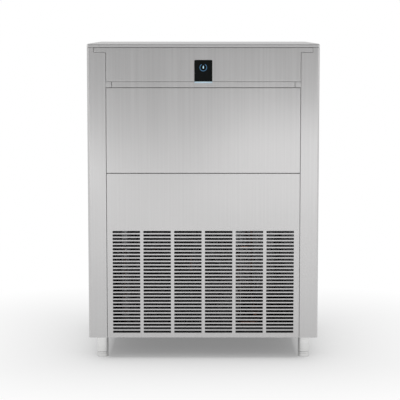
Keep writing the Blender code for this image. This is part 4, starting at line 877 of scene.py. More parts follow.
def fold_back(piece, depth):
    """Fold all outer edges of a flat front back by a depth, with round folds and a wall."""
    bpy.ops.object.mode_set(mode="EDIT")
    select(piece, "edges", lambda edge: edge.is_boundary)
    extrude_by((0.0, depth, 0.0))
    select(piece, "edges", lambda edge: not edge.is_boundary
           and lies_at(edge, 1, FRONT_Y)
           and edge.calc_face_angle(0.0) > SHARP_ANGLE)
    bevel(FOLD_RADIUS, 4)
    turn_faces()
    face_towards(piece, TO_VIEWER)
    bpy.ops.object.mode_set(mode="OBJECT")
    add_wall(piece)


def box_xz(node):
    """The lowest and highest (x, z) of a solid, and its depth from the front."""
    low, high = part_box(node)
    return (low[0], low[2]), (high[0], high[2]), high[1] - low[1]


low, high, depth = box_xz("door_skin")
door = folded_pan(low, high, depth)
complete(door, "door_sheet", steel_upright, "door", ["door_skin"])

# %% [markdown]
# ## The grille
#
# The lower panel has six columns of thirty slots, punched with a tool that has round corners. One
# slot is modelled as a block with rounded corners, two Array modifiers repeat it, and a Boolean cuts
# them all at once. The spacing is read off the real panel: bridges of 11.7 mm between the columns
# and a slot every 12.7 mm.

# %% Grille panel
SLOT_SIZE = (0.1006, 0.0083)
COLUMN_PITCH = 0.1123
ROW_PITCH = 0.012734
FIRST_ROW = 0.0222
COLUMNS = 6
ROWS = 30


def slot_cutter(width, height, x, z, y=FRONT_Y):
    """A block through the sheet with round corners."""
    tool = begin_cube((x - width / 2, y - CUT_PAST, z - height / 2),
                      (x + width / 2, y + CUT_PAST, z + height / 2))
    bpy.ops.object.mode_set(mode="EDIT")
    select(tool, "edges", lambda edge: along(edge, 1))
    bevel(height * 0.2, 3)
    bpy.ops.object.mode_set(mode="OBJECT")
    return tool


low, high, depth = box_xz("grille_panel")
grille = folded_pan(low, high, depth)
first_x = -(COLUMNS - 1) / 2 * COLUMN_PITCH
tool = slot_cutter(*SLOT_SIZE, first_x, low[1] + FIRST_ROW)
repeat(tool, ROWS, (0.0, 0.0, ROW_PITCH))
repeat(tool, COLUMNS, (COLUMN_PITCH, 0.0, 0.0))
cut_with(grille, tool)
complete(grille, "grille_sheet", steel_upright, "cabinet", ["grille_panel"])

# %% [markdown]
# ## Fascia with ears
#
# The fascia is wider at the top: an ear on each side reaches over the pillar and hides the screws
# of the lid. The plane is split at the height of the ears, the two upper side edges are extruded
# outwards, and then the whole outline is folded back. The window for the display has two round
# upper corners.

# %% Fascia
low, high, depth = box_xz("front_fascia")
glass_low, glass_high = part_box("display_glass")
PANEL_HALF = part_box("door_skin")[1][0]
EAR_HEIGHT = 0.0165
EAR_BOTTOM = high[1] - EAR_HEIGHT

fascia = begin_front_plane((-PANEL_HALF, low[1]), (PANEL_HALF, high[1]))
bpy.ops.object.mode_set(mode="EDIT")
bpy.ops.mesh.select_all(action="SELECT")
bpy.ops.mesh.bisect(plane_co=(0.0, FRONT_Y, EAR_BOTTOM), plane_no=(0.0, 0.0, 1.0))
for side in (-1, 1):
    select(fascia, "edges", lambda edge: edge.is_boundary and along(edge, 2)
           and middle_of(edge).z > EAR_BOTTOM and middle_of(edge).x * side > 0)
    extrude_by((side * (high[0] - PANEL_HALF), 0.0, 0.0))
bpy.ops.object.mode_set(mode="OBJECT")
fold_back(fascia, depth)


def window_cutter(low, high, clearance, radius):
    """A block for the display window, its two upper corners rounded."""
    tool = begin_cube((low[0] - clearance, FRONT_Y - CUT_PAST, low[2] - CUT_PAST),
                      (high[0] + clearance, FRONT_Y + CUT_PAST, high[2] + clearance))
    bpy.ops.object.mode_set(mode="EDIT")
    select(tool, "edges", lambda edge: along(edge, 1) and middle_of(edge).z > high[2])
    bevel(radius, 6)
    bpy.ops.object.mode_set(mode="OBJECT")
    return tool


GLASS_RADIUS = 0.0034
GLASS_GAP = 0.0003

cut_with(fascia, window_cutter(glass_low, glass_high, GLASS_GAP, GLASS_RADIUS + GLASS_GAP))
complete(fascia, "fascia_sheet", steel_upright, "cabinet", ["front_fascia"])

# %% [markdown]
# ## Rail over the door
#
# A narrow fixed rail closes the gap between fascia and door and carries the light strip. It is a
# small folded pan with a notch in the middle, and a moulded cap closes each end.

# %% Rail and its end caps
CAP_CLEARANCE = 0.0011
CAP_RADIUS = 0.0012
NOTCH_GAP = 0.0003
NOTCH_BEHIND = 0.0005

low, high, depth = box_xz("front_rail")
rail = folded_pan((low[0] + CAP_CLEARANCE, low[1]), (high[0] - CAP_CLEARANCE, high[1]), depth)
strip_low, strip_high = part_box("light_strip")
notch = begin_cube((strip_low[0] - NOTCH_GAP, FRONT_Y - CUT_PAST, strip_low[2] - NOTCH_GAP),
                   (strip_high[0] + NOTCH_GAP, strip_high[1] + NOTCH_BEHIND, strip_high[2] + CUT_PAST))
cut_with(rail, notch)
complete(rail, "rail_sheet", steel_upright, "cabinet", ["front_rail"])

for side in ("left", "right"):
    cap_low, cap_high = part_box("rail_end_" + side)
    cap = begin_cube(cap_low, cap_high)
    bpy.ops.object.mode_set(mode="EDIT")
    select(cap, "edges", lambda edge: lies_at(edge, 1, FRONT_Y))
    bevel(CAP_RADIUS, 3)
    bpy.ops.object.mode_set(mode="OBJECT")
    complete(cap, "rail_cap_" + side, steel_upright, "cabinet", ["rail_end_" + side])

# %% [markdown]
# ## Side sheets
#
# Each side is one long sheet: a narrow return behind the front seam, the pillar, a wide corner of
# nine millimetres, the side itself and a fold at the back. It starts as the pillar's plane, and its
# edges are extruded from fold to fold. Only the corner between pillar and side gets the wide
# radius. The notch at the top makes room for the fascia's ear.

# %% Side sheets
CORNER_RADIUS = 0.009
RETURN_DEPTH = 0.012
REAR_FOLD = 0.020
EAR_CLEARANCE = 0.0012


def make_side(side, name, node):
    """The folded sheet of one side, -1 for the left and 1 for the right."""
    low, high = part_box(node)
    inner = min(abs(low[0]), abs(high[0]))
    outer = max(abs(low[0]), abs(high[0]))
    left, right = sorted((side * inner, side * outer))
    piece = begin_front_plane((left, low[2]), (right, high[2]))
    bpy.ops.object.mode_set(mode="EDIT")
    select(piece, "edges", lambda edge: along(edge, 2) and abs(abs(middle_of(edge).x) - outer) < NEAR)
    extrude_by((0.0, high[1] - FRONT_Y, 0.0))
    select(piece, "edges", lambda edge: along(edge, 2) and abs(middle_of(edge).y - high[1]) < NEAR)
    extrude_by((-side * REAR_FOLD, 0.0, 0.0))
    select(piece, "edges", lambda edge: along(edge, 2) and abs(abs(middle_of(edge).x) - inner) < NEAR
           and abs(middle_of(edge).y - FRONT_Y) < NEAR)
    extrude_by((0.0, RETURN_DEPTH, 0.0))
    select(piece, "edges", lambda edge: along(edge, 2) and not edge.is_boundary
           and abs(abs(middle_of(edge).x) - outer) < NEAR and middle_of(edge).y < 0)
    bevel(CORNER_RADIUS, 10)
    select(piece, "edges", lambda edge: along(edge, 2) and not edge.is_boundary
           and edge.calc_face_angle(0.0) > SHARP_ANGLE)
    bevel(FOLD_RADIUS, 4)
    turn_faces()
    face_towards(piece, Vector((side, 0.0, 0.0)))
    bpy.ops.object.mode_set(mode="OBJECT")
    add_wall(piece)
    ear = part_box("front_fascia")[1]
    near, far = sorted((side * (inner - 2 * CUT_PAST), side * (ear[0] + EAR_CLEARANCE)))
    cut_with(piece, begin_cube((near, FRONT_Y - CUT_PAST, EAR_BOTTOM - EAR_CLEARANCE),
                               (far, ear[1], ear[2] + 2 * CUT_PAST)))
    complete(piece, name, steel_upright, "cabinet", [node])


make_side(-1, "side_sheet_left", "side_panel_left")
make_side(1, "side_sheet_right", "side_panel_right")

# %% [markdown]
# ## The lid
#
# The lid is one deep-drawn sheet like a very shallow tray turned upside down, with edges rounded
# to six millimetres. A block without its bottom is bevelled along its top edges and its two front
# corners, then gets its wall. Its front edge catches the light from above as the pale line at the
# top of the picture.

# %% Lid
LID_RADIUS = 0.0062

low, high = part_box("top_cover")
lid = begin_cube(low, high)
bpy.ops.object.mode_set(mode="EDIT")
select(lid, "faces", lambda face: face.normal.z < -0.9)
open_up()
select(lid, "edges", lambda edge: lies_at(edge, 2, high[2])
       or (along(edge, 2) and middle_of(edge).y < 0))
bevel(LID_RADIUS, 8)
bpy.ops.object.mode_set(mode="OBJECT")
add_wall(lid)
# The lid takes the lightened steel, which is painted light.
complete(lid, "lid_sheet", steel_lid_lightened, "cabinet", ["top_cover"])

# %% [markdown]
# ## Display pane and lit symbol
#
# The pane is ground glass with two round upper corners and a fine chamfer round its face. The
# symbol on it is the ordinary on and off sign: a ring that is open at the top and a short stroke
# with a pointed upper end. Both are printed on the pane, so they are only a tenth of a millimetre
# thick. The ring starts as a circle, is extruded inwards to a band, and loses the faces at its gap.

# %% Display pane
PANE_CHAMFER = 0.0004

pane = begin_cube(glass_low, glass_high)
bpy.ops.object.mode_set(mode="EDIT")
select(pane, "edges", lambda edge: along(edge, 1) and abs(middle_of(edge).z - glass_high[2]) < NEAR)
bevel(GLASS_RADIUS, 6)
select(pane, "edges", lambda edge: lies_at(edge, 1, FRONT_Y))
bevel(PANE_CHAMFER, 2)
bpy.ops.object.mode_set(mode="OBJECT")
complete(pane, "display_pane", display_glass, "cabinet", ["display_glass"])

# %% Lit symbol
SYMBOL_CENTRE = Vector((0.0, FRONT_Y - 0.00005, 1.0695))
RING_RADIUS = 0.0134
RING_BAND = 0.0020
RING_GAP = math.radians(32)
PRINT_WALL = 0.00015
PRINT_OUT = 0.0001
PRINT_SUNK = 0.00002
STROKE_HALF = 0.0017
STROKE_LOW = 1.0655
STROKE_TOP = 1.0725
TIP_HEIGHT = 0.0035
TIP_SHARE = 0.25
STROKE_ROUND = 0.0016

bpy.ops.object.select_all(action="DESELECT")
bpy.ops.mesh.primitive_circle_add(vertices=72, radius=RING_RADIUS, fill_type="NOTHING",
                                  location=SYMBOL_CENTRE, rotation=(math.radians(90), 0, 0))
ring = bpy.context.object
bpy.ops.object.transform_apply(location=True, rotation=True, scale=True)
bpy.ops.object.mode_set(mode="EDIT")
bpy.ops.mesh.select_all(action="SELECT")
extrude_by((0.0, 0.0, 0.0))
share = (RING_RADIUS - RING_BAND) / RING_RADIUS
bpy.ops.transform.resize(value=(share, share, share), center_override=SYMBOL_CENTRE)


def in_gap(face):
    """Whether a face of the ring lies where the sign is open."""
    arm = face.calc_center_median() - SYMBOL_CENTRE
    return abs(math.atan2(arm.x, arm.z)) < RING_GAP


select(ring, "faces", in_gap)
bpy.ops.mesh.delete(type="FACE")
turn_faces()
face_towards(ring, TO_VIEWER)
bpy.ops.object.mode_set(mode="OBJECT")
apply_modifier(ring, "SOLIDIFY", thickness=PRINT_WALL, offset=0.0)
complete(ring, "symbol_ring", lit_ring, "cabinet")

stroke = begin_cube((-STROKE_HALF, FRONT_Y - PRINT_OUT, STROKE_LOW),
                    (STROKE_HALF, FRONT_Y + PRINT_SUNK, STROKE_TOP))
bpy.ops.object.mode_set(mode="EDIT")
select(stroke, "faces", lambda face: face.normal.z > 0.9)
extrude_by((0.0, 0.0, TIP_HEIGHT))
bpy.ops.transform.resize(value=(TIP_SHARE, 1.0, 1.0), center_override=(0.0, FRONT_Y, STROKE_TOP))
select(stroke, "edges", lambda edge: along(edge, 1) and abs(middle_of(edge).z - STROKE_LOW) < NEAR)
bevel(STROKE_ROUND, 4)
bpy.ops.object.mode_set(mode="OBJECT")
complete(stroke, "symbol_stroke", lit_mark, "cabinet")

# %% [markdown]
# ## Turned forms
#
# Feet, screws and fittings are round. On a lathe such a part is one line turned about
# an axis. Here a flat disc is pulled out along the axis again and again, and widened or narrowed
# after each pull, which gives the same form and a closed mesh from the start.

# %% Turned forms
def turned(centre, profile, axis=2, sides=48):
    """Pull a disc out along an axis. profile lists (offset along the axis, radius), end to end."""
    centre = Vector(centre)
    direction = Vector([float(index == axis) for index in range(3)])
    rotation = ((0.0, math.radians(90), 0.0), (math.radians(90), 0.0, 0.0), (0.0, 0.0, 0.0))[axis]
    bpy.ops.object.select_all(action="DESELECT")
    bpy.ops.mesh.primitive_circle_add(vertices=sides, radius=profile[0][1], fill_type="NGON",
                                      location=centre + direction * profile[0][0], rotation=rotation)
    piece = bpy.context.object
    bpy.ops.object.transform_apply(location=True, rotation=True, scale=True)
    bpy.ops.object.mode_set(mode="EDIT")
    bpy.ops.mesh.select_all(action="SELECT")
    for (offset, radius), (next_offset, next_radius) in zip(profile, profile[1:]):
        extrude_by(direction * (next_offset - offset))
        share = next_radius / radius
        size = [1.0 if index == axis else share for index in range(3)]
        bpy.ops.transform.resize(value=size, center_override=centre + direction * next_offset)
    turn_faces()
    bpy.ops.object.mode_set(mode="OBJECT")
    return piece


def copy_of(model, shift):
    """A copy with a mesh of its own, moved in that mesh."""
    copied = bpy.data.objects.new(model.name, model.data.copy())
    copied.data.transform(Matrix.Translation(shift))
    bpy.context.scene.collection.objects.link(copied)
    return copied


def join_to(piece, *others):
    """Make other objects part of a piece's mesh."""
    pick(piece, *others)
    bpy.ops.object.join()


# %% [markdown]
# ## Feet
#
# A foot is a bright tube welded under the tray with a base that screws up into it to level the
# machine. Both are turned. The tube's line runs down its bore, round its rolled lower edge and up
# outside. The base starts with the stud that goes up the bore, then has a collar the width of the
# tube, a fine groove and a low skirt that stands on the floor. One of each is modelled at the first
# place and copied to the others.

# %% Feet
SLEEVE_RADIUS = 0.02125
SLEEVE_BORE = 0.0195
STUD_RADIUS = 0.0120
SKIRT_RADIUS = 0.0217
SKIRT_HEIGHT = 0.0052
GROOVE_HEIGHT = 0.0138


def foot_middle(node):
    """The place of a foot on the floor, and how far it reaches up and down."""
    low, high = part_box(node)
    return Vector(((low[0] + high[0]) / 2, (low[1] + high[1]) / 2, 0.0)), low[2], high[2]


first, bottom, top = foot_middle("foot_sleeve_front_left")
sleeve = turned(first, [(top - 0.002, SLEEVE_BORE), (bottom, SLEEVE_BORE),
                        (bottom, SLEEVE_RADIUS - 0.0008), (bottom + 0.0003, SLEEVE_RADIUS - 0.0002),
                        (bottom + 0.0008, SLEEVE_RADIUS), (top, SLEEVE_RADIUS)])
collar_top = bottom - 0.0003
collar = SLEEVE_RADIUS - 0.0003
top = foot_middle("foot_base_front_left")[2]
base = turned(first, [(top, STUD_RADIUS), (collar_top, STUD_RADIUS), (collar_top, collar - 0.0006),
                      (collar_top - 0.0006, collar), (GROOVE_HEIGHT + 0.0004, collar),
                      (GROOVE_HEIGHT + 0.0001, collar - 0.0006), (GROOVE_HEIGHT - 0.0001, collar - 0.0006),
                      (GROOVE_HEIGHT - 0.0004, collar), (SKIRT_HEIGHT, SKIRT_RADIUS - 0.0004),
                      (SKIRT_HEIGHT - 0.0012, SKIRT_RADIUS), (0.0008, SKIRT_RADIUS),
                      (0.0, SKIRT_RADIUS - 0.0008)])
for place in ("front_left", "front_right", "rear_left", "rear_right"):
    shift = foot_middle("foot_sleeve_" + place)[0] - first
    for model, kind in ((sleeve, "sleeve"), (base, "base")):
        # The feet take the lightened steel, which is painted light.
        complete(copy_of(model, shift), "turned_%s_%s" % (kind, place), steel_round_lightened,
                 "cabinet", ["foot_%s_%s" % (kind, place)])
for model in (sleeve, base):
    bpy.data.objects.remove(model)

# %% [markdown]
# ## Rear sheet
#
# The back is one flat zinc coated sheet. Its air slots are pressed as louvres: over each slot the
# sheet bulges outwards and is open only at the bottom, so nobody sees through it and nothing drips
# in. A louvre is a block without its bottom and its back, with round edges and a thin wall. The
# same two Array steps as for the grille repeat the slots and the louvres.

# %% Rear sheet
VENT_SIZE = (0.150, 0.008)
VENT_CENTRE = 0.100
VENT_PITCH = 0.020
FIRST_VENT = 0.090
VENT_ROWS = 12
HOOD_DEPTH = 0.0075
HOOD_HALF = 0.0765
HOOD_BELOW = 0.0066
HOOD_ABOVE = 0.0062
HOOD_SUNK = 0.0005
HOOD_RADIUS = 0.0050
HOOD_WALL = 0.0010


def repeat_vents(model):
    """Two columns of twelve rows, from the one at the lower left."""
    repeat(model, VENT_ROWS, (0.0, 0.0, VENT_PITCH))
    repeat(model, 2, (2 * VENT_CENTRE, 0.0, 0.0))


low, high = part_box("rear_panel")
REAR_Y = high[1]


def fitting_middle(node):
    """Where the axis of a fitting passes through the rear sheet."""
    low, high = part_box(node)
    return Vector(((low[0] + high[0]) / 2, REAR_Y, (low[2] + high[2]) / 2))


vent_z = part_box("base_tray")[0][2] + FIRST_VENT
rear = begin_cube(low, high)
tool = slot_cutter(*VENT_SIZE, -VENT_CENTRE, vent_z, REAR_Y)
repeat_vents(tool)
cut_with(rear, tool)
for node, rim in (("inlet_valve", 0.0140), ("drain_outlet", 0.0130), ("cable_gland", 0.0110)):
    cut_with(rear, turned(fitting_middle(node), [(-CUT_PAST, rim), (CUT_PAST, rim)], axis=1))

hood = begin_cube((-VENT_CENTRE - HOOD_HALF, REAR_Y - HOOD_SUNK, vent_z - HOOD_BELOW),
                  (-VENT_CENTRE + HOOD_HALF, REAR_Y + HOOD_DEPTH, vent_z + HOOD_ABOVE))
bpy.ops.object.mode_set(mode="EDIT")
select(hood, "faces", lambda face: face.normal.z < -0.9 or face.normal.y < -0.9)
open_up()
select(hood, "edges", lambda edge: not edge.is_boundary)
bevel(HOOD_RADIUS, 5)
bpy.ops.object.mode_set(mode="OBJECT")
add_wall(hood, HOOD_WALL)
repeat_vents(hood)
join_to(rear, hood)
complete(rear, "rear_sheet", zinc, "cabinet", ["rear_panel"])

# %% [markdown]
# ## Screws of the rear sheet
#
# Ten cross-head screws hold the rear sheet on the folds of the side sheets. A screw's head is
# turned, its cross is cut with two small blocks, and the finished head is copied to each place.

# %% Rear screws
SCREW_ROWS = (0.115, 0.365, 0.615, 0.865, 1.110)
SCREW_SIDE = 0.4085
HEAD_LINE = [(-0.0002, 0.0046), (0.0011, 0.0046), (0.0020, 0.0039), (0.0025, 0.0024)]
CROSS_HALF = 0.0024
CROSS_WALL = 0.0005
CROSS_FROM = 0.0012
CROSS_TO = 0.004

screw = turned((0.0, REAR_Y, 0.0), HEAD_LINE, axis=1, sides=28)
for half_x, half_z in ((CROSS_HALF, CROSS_WALL), (CROSS_WALL, CROSS_HALF)):
    cut_with(screw, begin_cube((-half_x, REAR_Y + CROSS_FROM, -half_z),
                               (half_x, REAR_Y + CROSS_TO, half_z)))
for side, label in ((-1, "left"), (1, "right")):
    for index, z in enumerate(SCREW_ROWS):
        head = copy_of(screw, Vector((side * SCREW_SIDE, 0.0, z)))
        complete(head, "rear_screw_%s_%d" % (label, index + 1), zinc, "cabinet")
bpy.data.objects.remove(screw)

# %% [markdown]
# ## Connections at the back
#
# Water comes in through a threaded stub, runs off through a ribbed spout for a hose, and the cord
# would enter through a gland with a six-sided nut. All three have a flange behind the sheet. They
# are turned, and only the nut has six sides. Thread and ribs are rings, which look the same as a
# thread from half a metre away.

# %% Connections
FLANGE_WALL = 0.004
FLANGE_RIM = 0.006
FLANGE_GAP = 0.0003
FITTING_CHAMFER = 0.0008
BORE_SHARE = 0.6
BORE_END = 0.002
THREAD_ROOT = 0.0118
THREAD_CREST = 0.0130
THREAD_PITCH = 0.0018
RIB_ROOT = 0.0108
RIB_CREST = 0.0122
RIB_PITCH = 0.0048


def stub(node, radius, outside):
    """A fitting through the rear sheet. outside lists (offset from the sheet, radius)."""
    low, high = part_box(node)
    inner = low[1] - REAR_Y
    outer = high[1] - REAR_Y
    flange = -SHEET_WALL - FLANGE_GAP
    profile = [(inner, radius - FITTING_CHAMFER), (inner + FITTING_CHAMFER, radius),
               (flange - FLANGE_WALL, radius), (flange - FLANGE_WALL, radius + FLANGE_RIM),
               (flange, radius + FLANGE_RIM), (flange, radius)]
    profile += outside
    profile += [(outer, radius * BORE_SHARE), (BORE_END, radius * BORE_SHARE)]
    return turned(fitting_middle(node), profile, axis=1)


thread = []
for ridge in range(8):
    start = 0.002 + ridge * THREAD_PITCH
    thread += [(start, THREAD_ROOT), (start + 0.0006, THREAD_CREST),
               (start + 0.0010, THREAD_CREST), (start + 0.0016, THREAD_ROOT)]
inlet = stub("inlet_valve", 0.013, thread + [(0.0172, THREAD_ROOT), (0.018, 0.0112)])
complete(inlet, "inlet_stub", white_plastic, "cabinet", ["inlet_valve"])

ribs = []
for rib in range(3):
    start = 0.003 + rib * RIB_PITCH
    ribs += [(start, RIB_ROOT), (start, RIB_CREST), (start + 0.0044, RIB_ROOT)]
spout = stub("drain_outlet", 0.012, ribs + [(0.0174, RIB_ROOT), (0.018, 0.0102)])
complete(spout, "drain_spout", grey_plastic, "cabinet", ["drain_outlet"])

dome = [(0.0075, 0.0099), (0.0130, 0.0096), (0.0160, 0.0084), (0.0176, 0.0070), (0.018, 0.0066)]
gland = stub("cable_gland", 0.010, dome)
nut_line = [(0.0004, 0.0128), (0.0012, 0.0138), (0.0064, 0.0138), (0.0072, 0.0128)]
nut = turned(fitting_middle("cable_gland"), nut_line, axis=1, sides=6)
join_to(gland, nut)
complete(gland, "gland_with_nut", grey_plastic, "cabinet", ["cable_gland"], angle=30.0)

# %% [markdown]
# ## The tub of the bin
#
# The inside of the bin is one vacuum formed tub. Hot plastic sheet can't be drawn into a sharp
# corner, so all its inner edges are wide and round, which also makes it easy to wipe out. The
# model is the inner surface: a block without its lid, whose front wall above the sill is pulled
# forward to make the throat under the door. The edges are bevelled, the widest ones in the
# corners, and the wall is added outwards. The spigot for the drain hose is joined to its floor.

# %% Bin tub
TUB_WALL = 0.0025
TUB_RADIUS = 0.026
SILL_RADIUS = 0.007
FOAM_WALL = 0.040
SILL_DEPTH = 0.034
SPIGOT_RADIUS = 0.012
SPIGOT_BORE = 0.008
SPIGOT_PLACE = (-0.0545, -0.058)
SPIGOT_SUNK = 0.0005
TUB_NEAR = 1e-4

low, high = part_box("bin_liner")
spigot_bottom = low[2]
floor_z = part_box("bin_body")[0][2] + FOAM_WALL + TUB_WALL
sill_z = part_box("door_gasket")[1][2]
room_low = Vector((low[0] + TUB_WALL, low[1] + SILL_DEPTH, floor_z))
room_high = Vector((high[0] - TUB_WALL, high[1] - TUB_WALL, high[2]))

tub = begin_cube(room_low, room_high)
bpy.ops.object.mode_set(mode="EDIT")
bpy.ops.mesh.select_all(action="SELECT")
bpy.ops.mesh.bisect(plane_co=(0.0, 0.0, sill_z), plane_no=(0.0, 0.0, 1.0))
select(tub, "faces", lambda face: face.normal.z > 0.9)
open_up()
select(tub, "faces", lambda face: face.normal.y < -0.9 and face.calc_center_median().z > sill_z)
extrude_by((0.0, -SILL_DEPTH, 0.0))
open_up()
select(tub, "faces", lambda face: face.calc_center_median().y < room_low.y
       and abs(face.calc_center_median().z - room_high.z) < TUB_NEAR)
open_up()
turn_faces(inside=True)
wide = select(tub, "edges", lambda edge: abs(middle_of(edge).z - floor_z) < TUB_NEAR
              or (along(edge, 2) and middle_of(edge).y > room_high.y - TUB_NEAR))
bevel(TUB_RADIUS, 6)
select(tub, "edges", lambda edge: not edge.is_boundary
       and abs(middle_of(edge).y - room_low.y) < TUB_NEAR
       and ((along(edge, 0) and abs(middle_of(edge).z - sill_z) < TUB_NEAR)
            or (along(edge, 2) and middle_of(edge).z < sill_z)))
bevel(SILL_RADIUS, 4)
bpy.ops.object.mode_set(mode="OBJECT")
add_wall(tub, TUB_WALL)
print("Wide corners bevelled:", wide)

drain = Vector((room_high.x + SPIGOT_PLACE[0], room_high.y + SPIGOT_PLACE[1], floor_z))
spigot_length = floor_z - spigot_bottom
cut_with(tub, turned(drain, [(-CUT_PAST, SPIGOT_BORE), (CUT_PAST, SPIGOT_BORE)], sides=32))
spigot = turned(drain, [(-SPIGOT_SUNK, SPIGOT_RADIUS), (-spigot_length, SPIGOT_RADIUS),
                        (-spigot_length, SPIGOT_BORE), (-SPIGOT_SUNK, SPIGOT_BORE)], sides=32)
bpy.ops.object.mode_set(mode="EDIT")
select(spigot, "faces", lambda face: abs(face.normal.z) > 0.9 and len(face.verts) > 4)
open_up()
select(spigot, "edges", lambda edge: edge.is_boundary)
bpy.ops.mesh.bridge_edge_loops()
turn_faces()
bpy.ops.object.mode_set(mode="OBJECT")
join_to(tub, spigot)
complete(tub, "bin_tub", white_plastic, "cabinet", ["bin_liner"], angle=40.0)

# %% [markdown]
# ## The condenser
#
# Behind the grille stands the condenser, where the refrigerant gives off its heat. A copper tube
# runs to and fro through a pack of aluminium fins, and a frame of folded sheet holds the pack. Only
# the ends of the tube show, as bends outside the frame. One fin, one bend on each side and one
# stub are modelled. The Array modifier repeats the fin and the bends, and the stub is copied. The
# two ends of the tube are put where the pipes from the compressor and to the drier arrive, so the
# rows are spaced between them.

# %% Condenser
FIN_PITCH = 0.0024
FIN_WALL = 0.0003
FIN_RECESS = 0.003
BEND_ROOM = 0.019
BEND_LEG = 0.0020
LIP_WIDTH = 0.008
TUBE_RADIUS = 0.0046
TUBE_ROWS = 14

low, high = (Vector(corner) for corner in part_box("condenser"))
core_low = low + Vector((BEND_ROOM, 0.0, 0.0))
core_high = high - Vector((BEND_ROOM, 0.0, 0.0))
core_middle = (core_low + core_high) / 2
core_size = core_high - core_low

frame_ring = begin_cube(core_low, core_high)
bpy.ops.object.mode_set(mode="EDIT")
select(frame_ring, "faces", lambda face: abs(face.normal.y) > 0.9)
open_up()
for y in (core_low.y, core_high.y):
    select(frame_ring, "edges", lambda edge: edge.is_boundary and abs(middle_of(edge).y - y) < NEAR)
    extrude_by((0.0, 0.0, 0.0))
    inner_share = (1.0 - 2 * LIP_WIDTH / core_size.x, 1.0, 1.0 - 2 * LIP_WIDTH / core_size.z)
    bpy.ops.transform.resize(value=inner_share, center_override=(core_middle.x, y, core_middle.z))
bpy.ops.object.mode_set(mode="OBJECT")
add_wall(frame_ring)
# The frame takes the near-black zinc of painted shade.
complete(frame_ring, "condenser_frame", shade_dark_zinc, "cabinet", ["condenser"])

inset = Vector((FIN_PITCH, FIN_RECESS, SHEET_WALL))
fin = begin_cube(core_low + inset, (core_low.x + FIN_PITCH + FIN_WALL, core_high.y - FIN_RECESS,
                                    core_high.z - SHEET_WALL))
repeat(fin, int(core_size.x / FIN_PITCH) - 1, (FIN_PITCH, 0.0, 0.0))
# The fins take the dark grey aluminium of dust and painted shade.
complete(fin, "condenser_fins", shade_dark_fins, "cabinet", ["condenser"])


def pipe_end(node):
    """Where a pipe arrives at the condenser's right side."""
    piece = nodes[node]
    places = [piece.matrix_world @ vert.co for vert in piece.data.vertices]
    near = [place for place in places if abs(place.x - high.x) < 0.001]
    return sum(near, Vector()) / len(near)


def tube_bend(side, top_z, pitch, y):
    """A half circle of tube from one row to the next, outside the frame."""
    face_x = core_high.x if side > 0 else core_low.x
    centre = Vector((face_x + side * BEND_LEG, y, top_z - pitch / 2))
    bpy.ops.object.select_all(action="DESELECT")
    bpy.ops.mesh.primitive_circle_add(vertices=14, radius=TUBE_RADIUS, fill_type="NOTHING",
                                      location=centre + Vector((0.0, 0.0, pitch / 2)),
                                      rotation=(0.0, math.radians(90), 0.0))
    piece = bpy.context.object
    bpy.ops.object.transform_apply(location=True, rotation=True, scale=True)
    bpy.ops.object.mode_set(mode="EDIT")
    bpy.ops.mesh.select_all(action="SELECT")
    bpy.ops.mesh.spin(steps=9, angle=-side * math.pi, center=centre, axis=(0.0, 1.0, 0.0))
    select(piece, "edges", lambda edge: edge.is_boundary)
    extrude_by((-side * BEND_LEG * 2, 0.0, 0.0))
    turn_faces()
    bpy.ops.object.mode_set(mode="OBJECT")
    return piece


inlet_end = pipe_end("discharge_pipe")
outlet_end = pipe_end("liquid_pipe")
row_pitch = (inlet_end.z - outlet_end.z) / (TUBE_ROWS - 1)
tube = turned((core_high.x, inlet_end.y, inlet_end.z), [(0.0, TUBE_RADIUS), (BEND_ROOM, TUBE_RADIUS)],
              axis=0, sides=14)
outlet_stub = copy_of(tube, outlet_end - inlet_end)
bends = []
for side, first_row, count in ((-1, 0, TUBE_ROWS // 2), (1, 1, TUBE_ROWS // 2 - 1)):
    bend = tube_bend(side, inlet_end.z - first_row * row_pitch, row_pitch, inlet_end.y)
    repeat(bend, count, (0.0, 0.0, -2 * row_pitch))
    bends.append(bend)
join_to(tube, outlet_stub, *bends)
# The tube takes the near-black copper of painted shade.
complete(tube, "condenser_tube", shade_dark_copper, "cabinet", ["condenser"], angle=50.0)
print("Rows of tube:", TUBE_ROWS, "- apart", round(row_pitch * 1000, 1), "mm")

# %% [markdown]
# ## Compressor and fan motor
#
# The compressor is a steel pot of two drawn shells. The upper one sits inside the rim of the lower
# one and is welded there, which leaves a step all round. It stands on a pressed plate with four
# rubber grommets. The line of the pot is turned: arcs for the rounded bottom and the dome, straight
# stretches for the sides. The small motor behind the fan is turned in the same way.

# %% Compressor
SHELL_RADIUS = 0.0902
RIM_RADIUS = 0.0946
DOME_RADIUS = 0.0880
RIM_SHARE = 0.607
RIM_HEIGHT = 0.0065
LEG_HEIGHT = 0.015
BOTTOM_ROUND = 0.030
DOME_RISE = 0.056
DOME_FLAT = 0.004
PLATE_WALL = 0.0030
PLATE_HALF = 0.086
PLATE_LOW = LEG_HEIGHT - 0.002
PLATE_CORNER = 0.018
PLATE_RIM = 0.004
COVER_LOW = (-0.024, -0.0948, 0.062)
COVER_HIGH = (0.024, -0.080, 0.108)
COVER_RADIUS = 0.006
GROMMET_PLACE = 0.068


def arc(offset, radius, rise, reach, start, end, steps=8):
    """Points of a quarter arc, from one angle to another in degrees. 0 degrees points outwards."""
    angles = [math.radians(start + (end - start) * step / steps) for step in range(steps + 1)]
    return [(offset + rise * math.sin(angle), radius + reach * math.cos(angle)) for angle in angles]


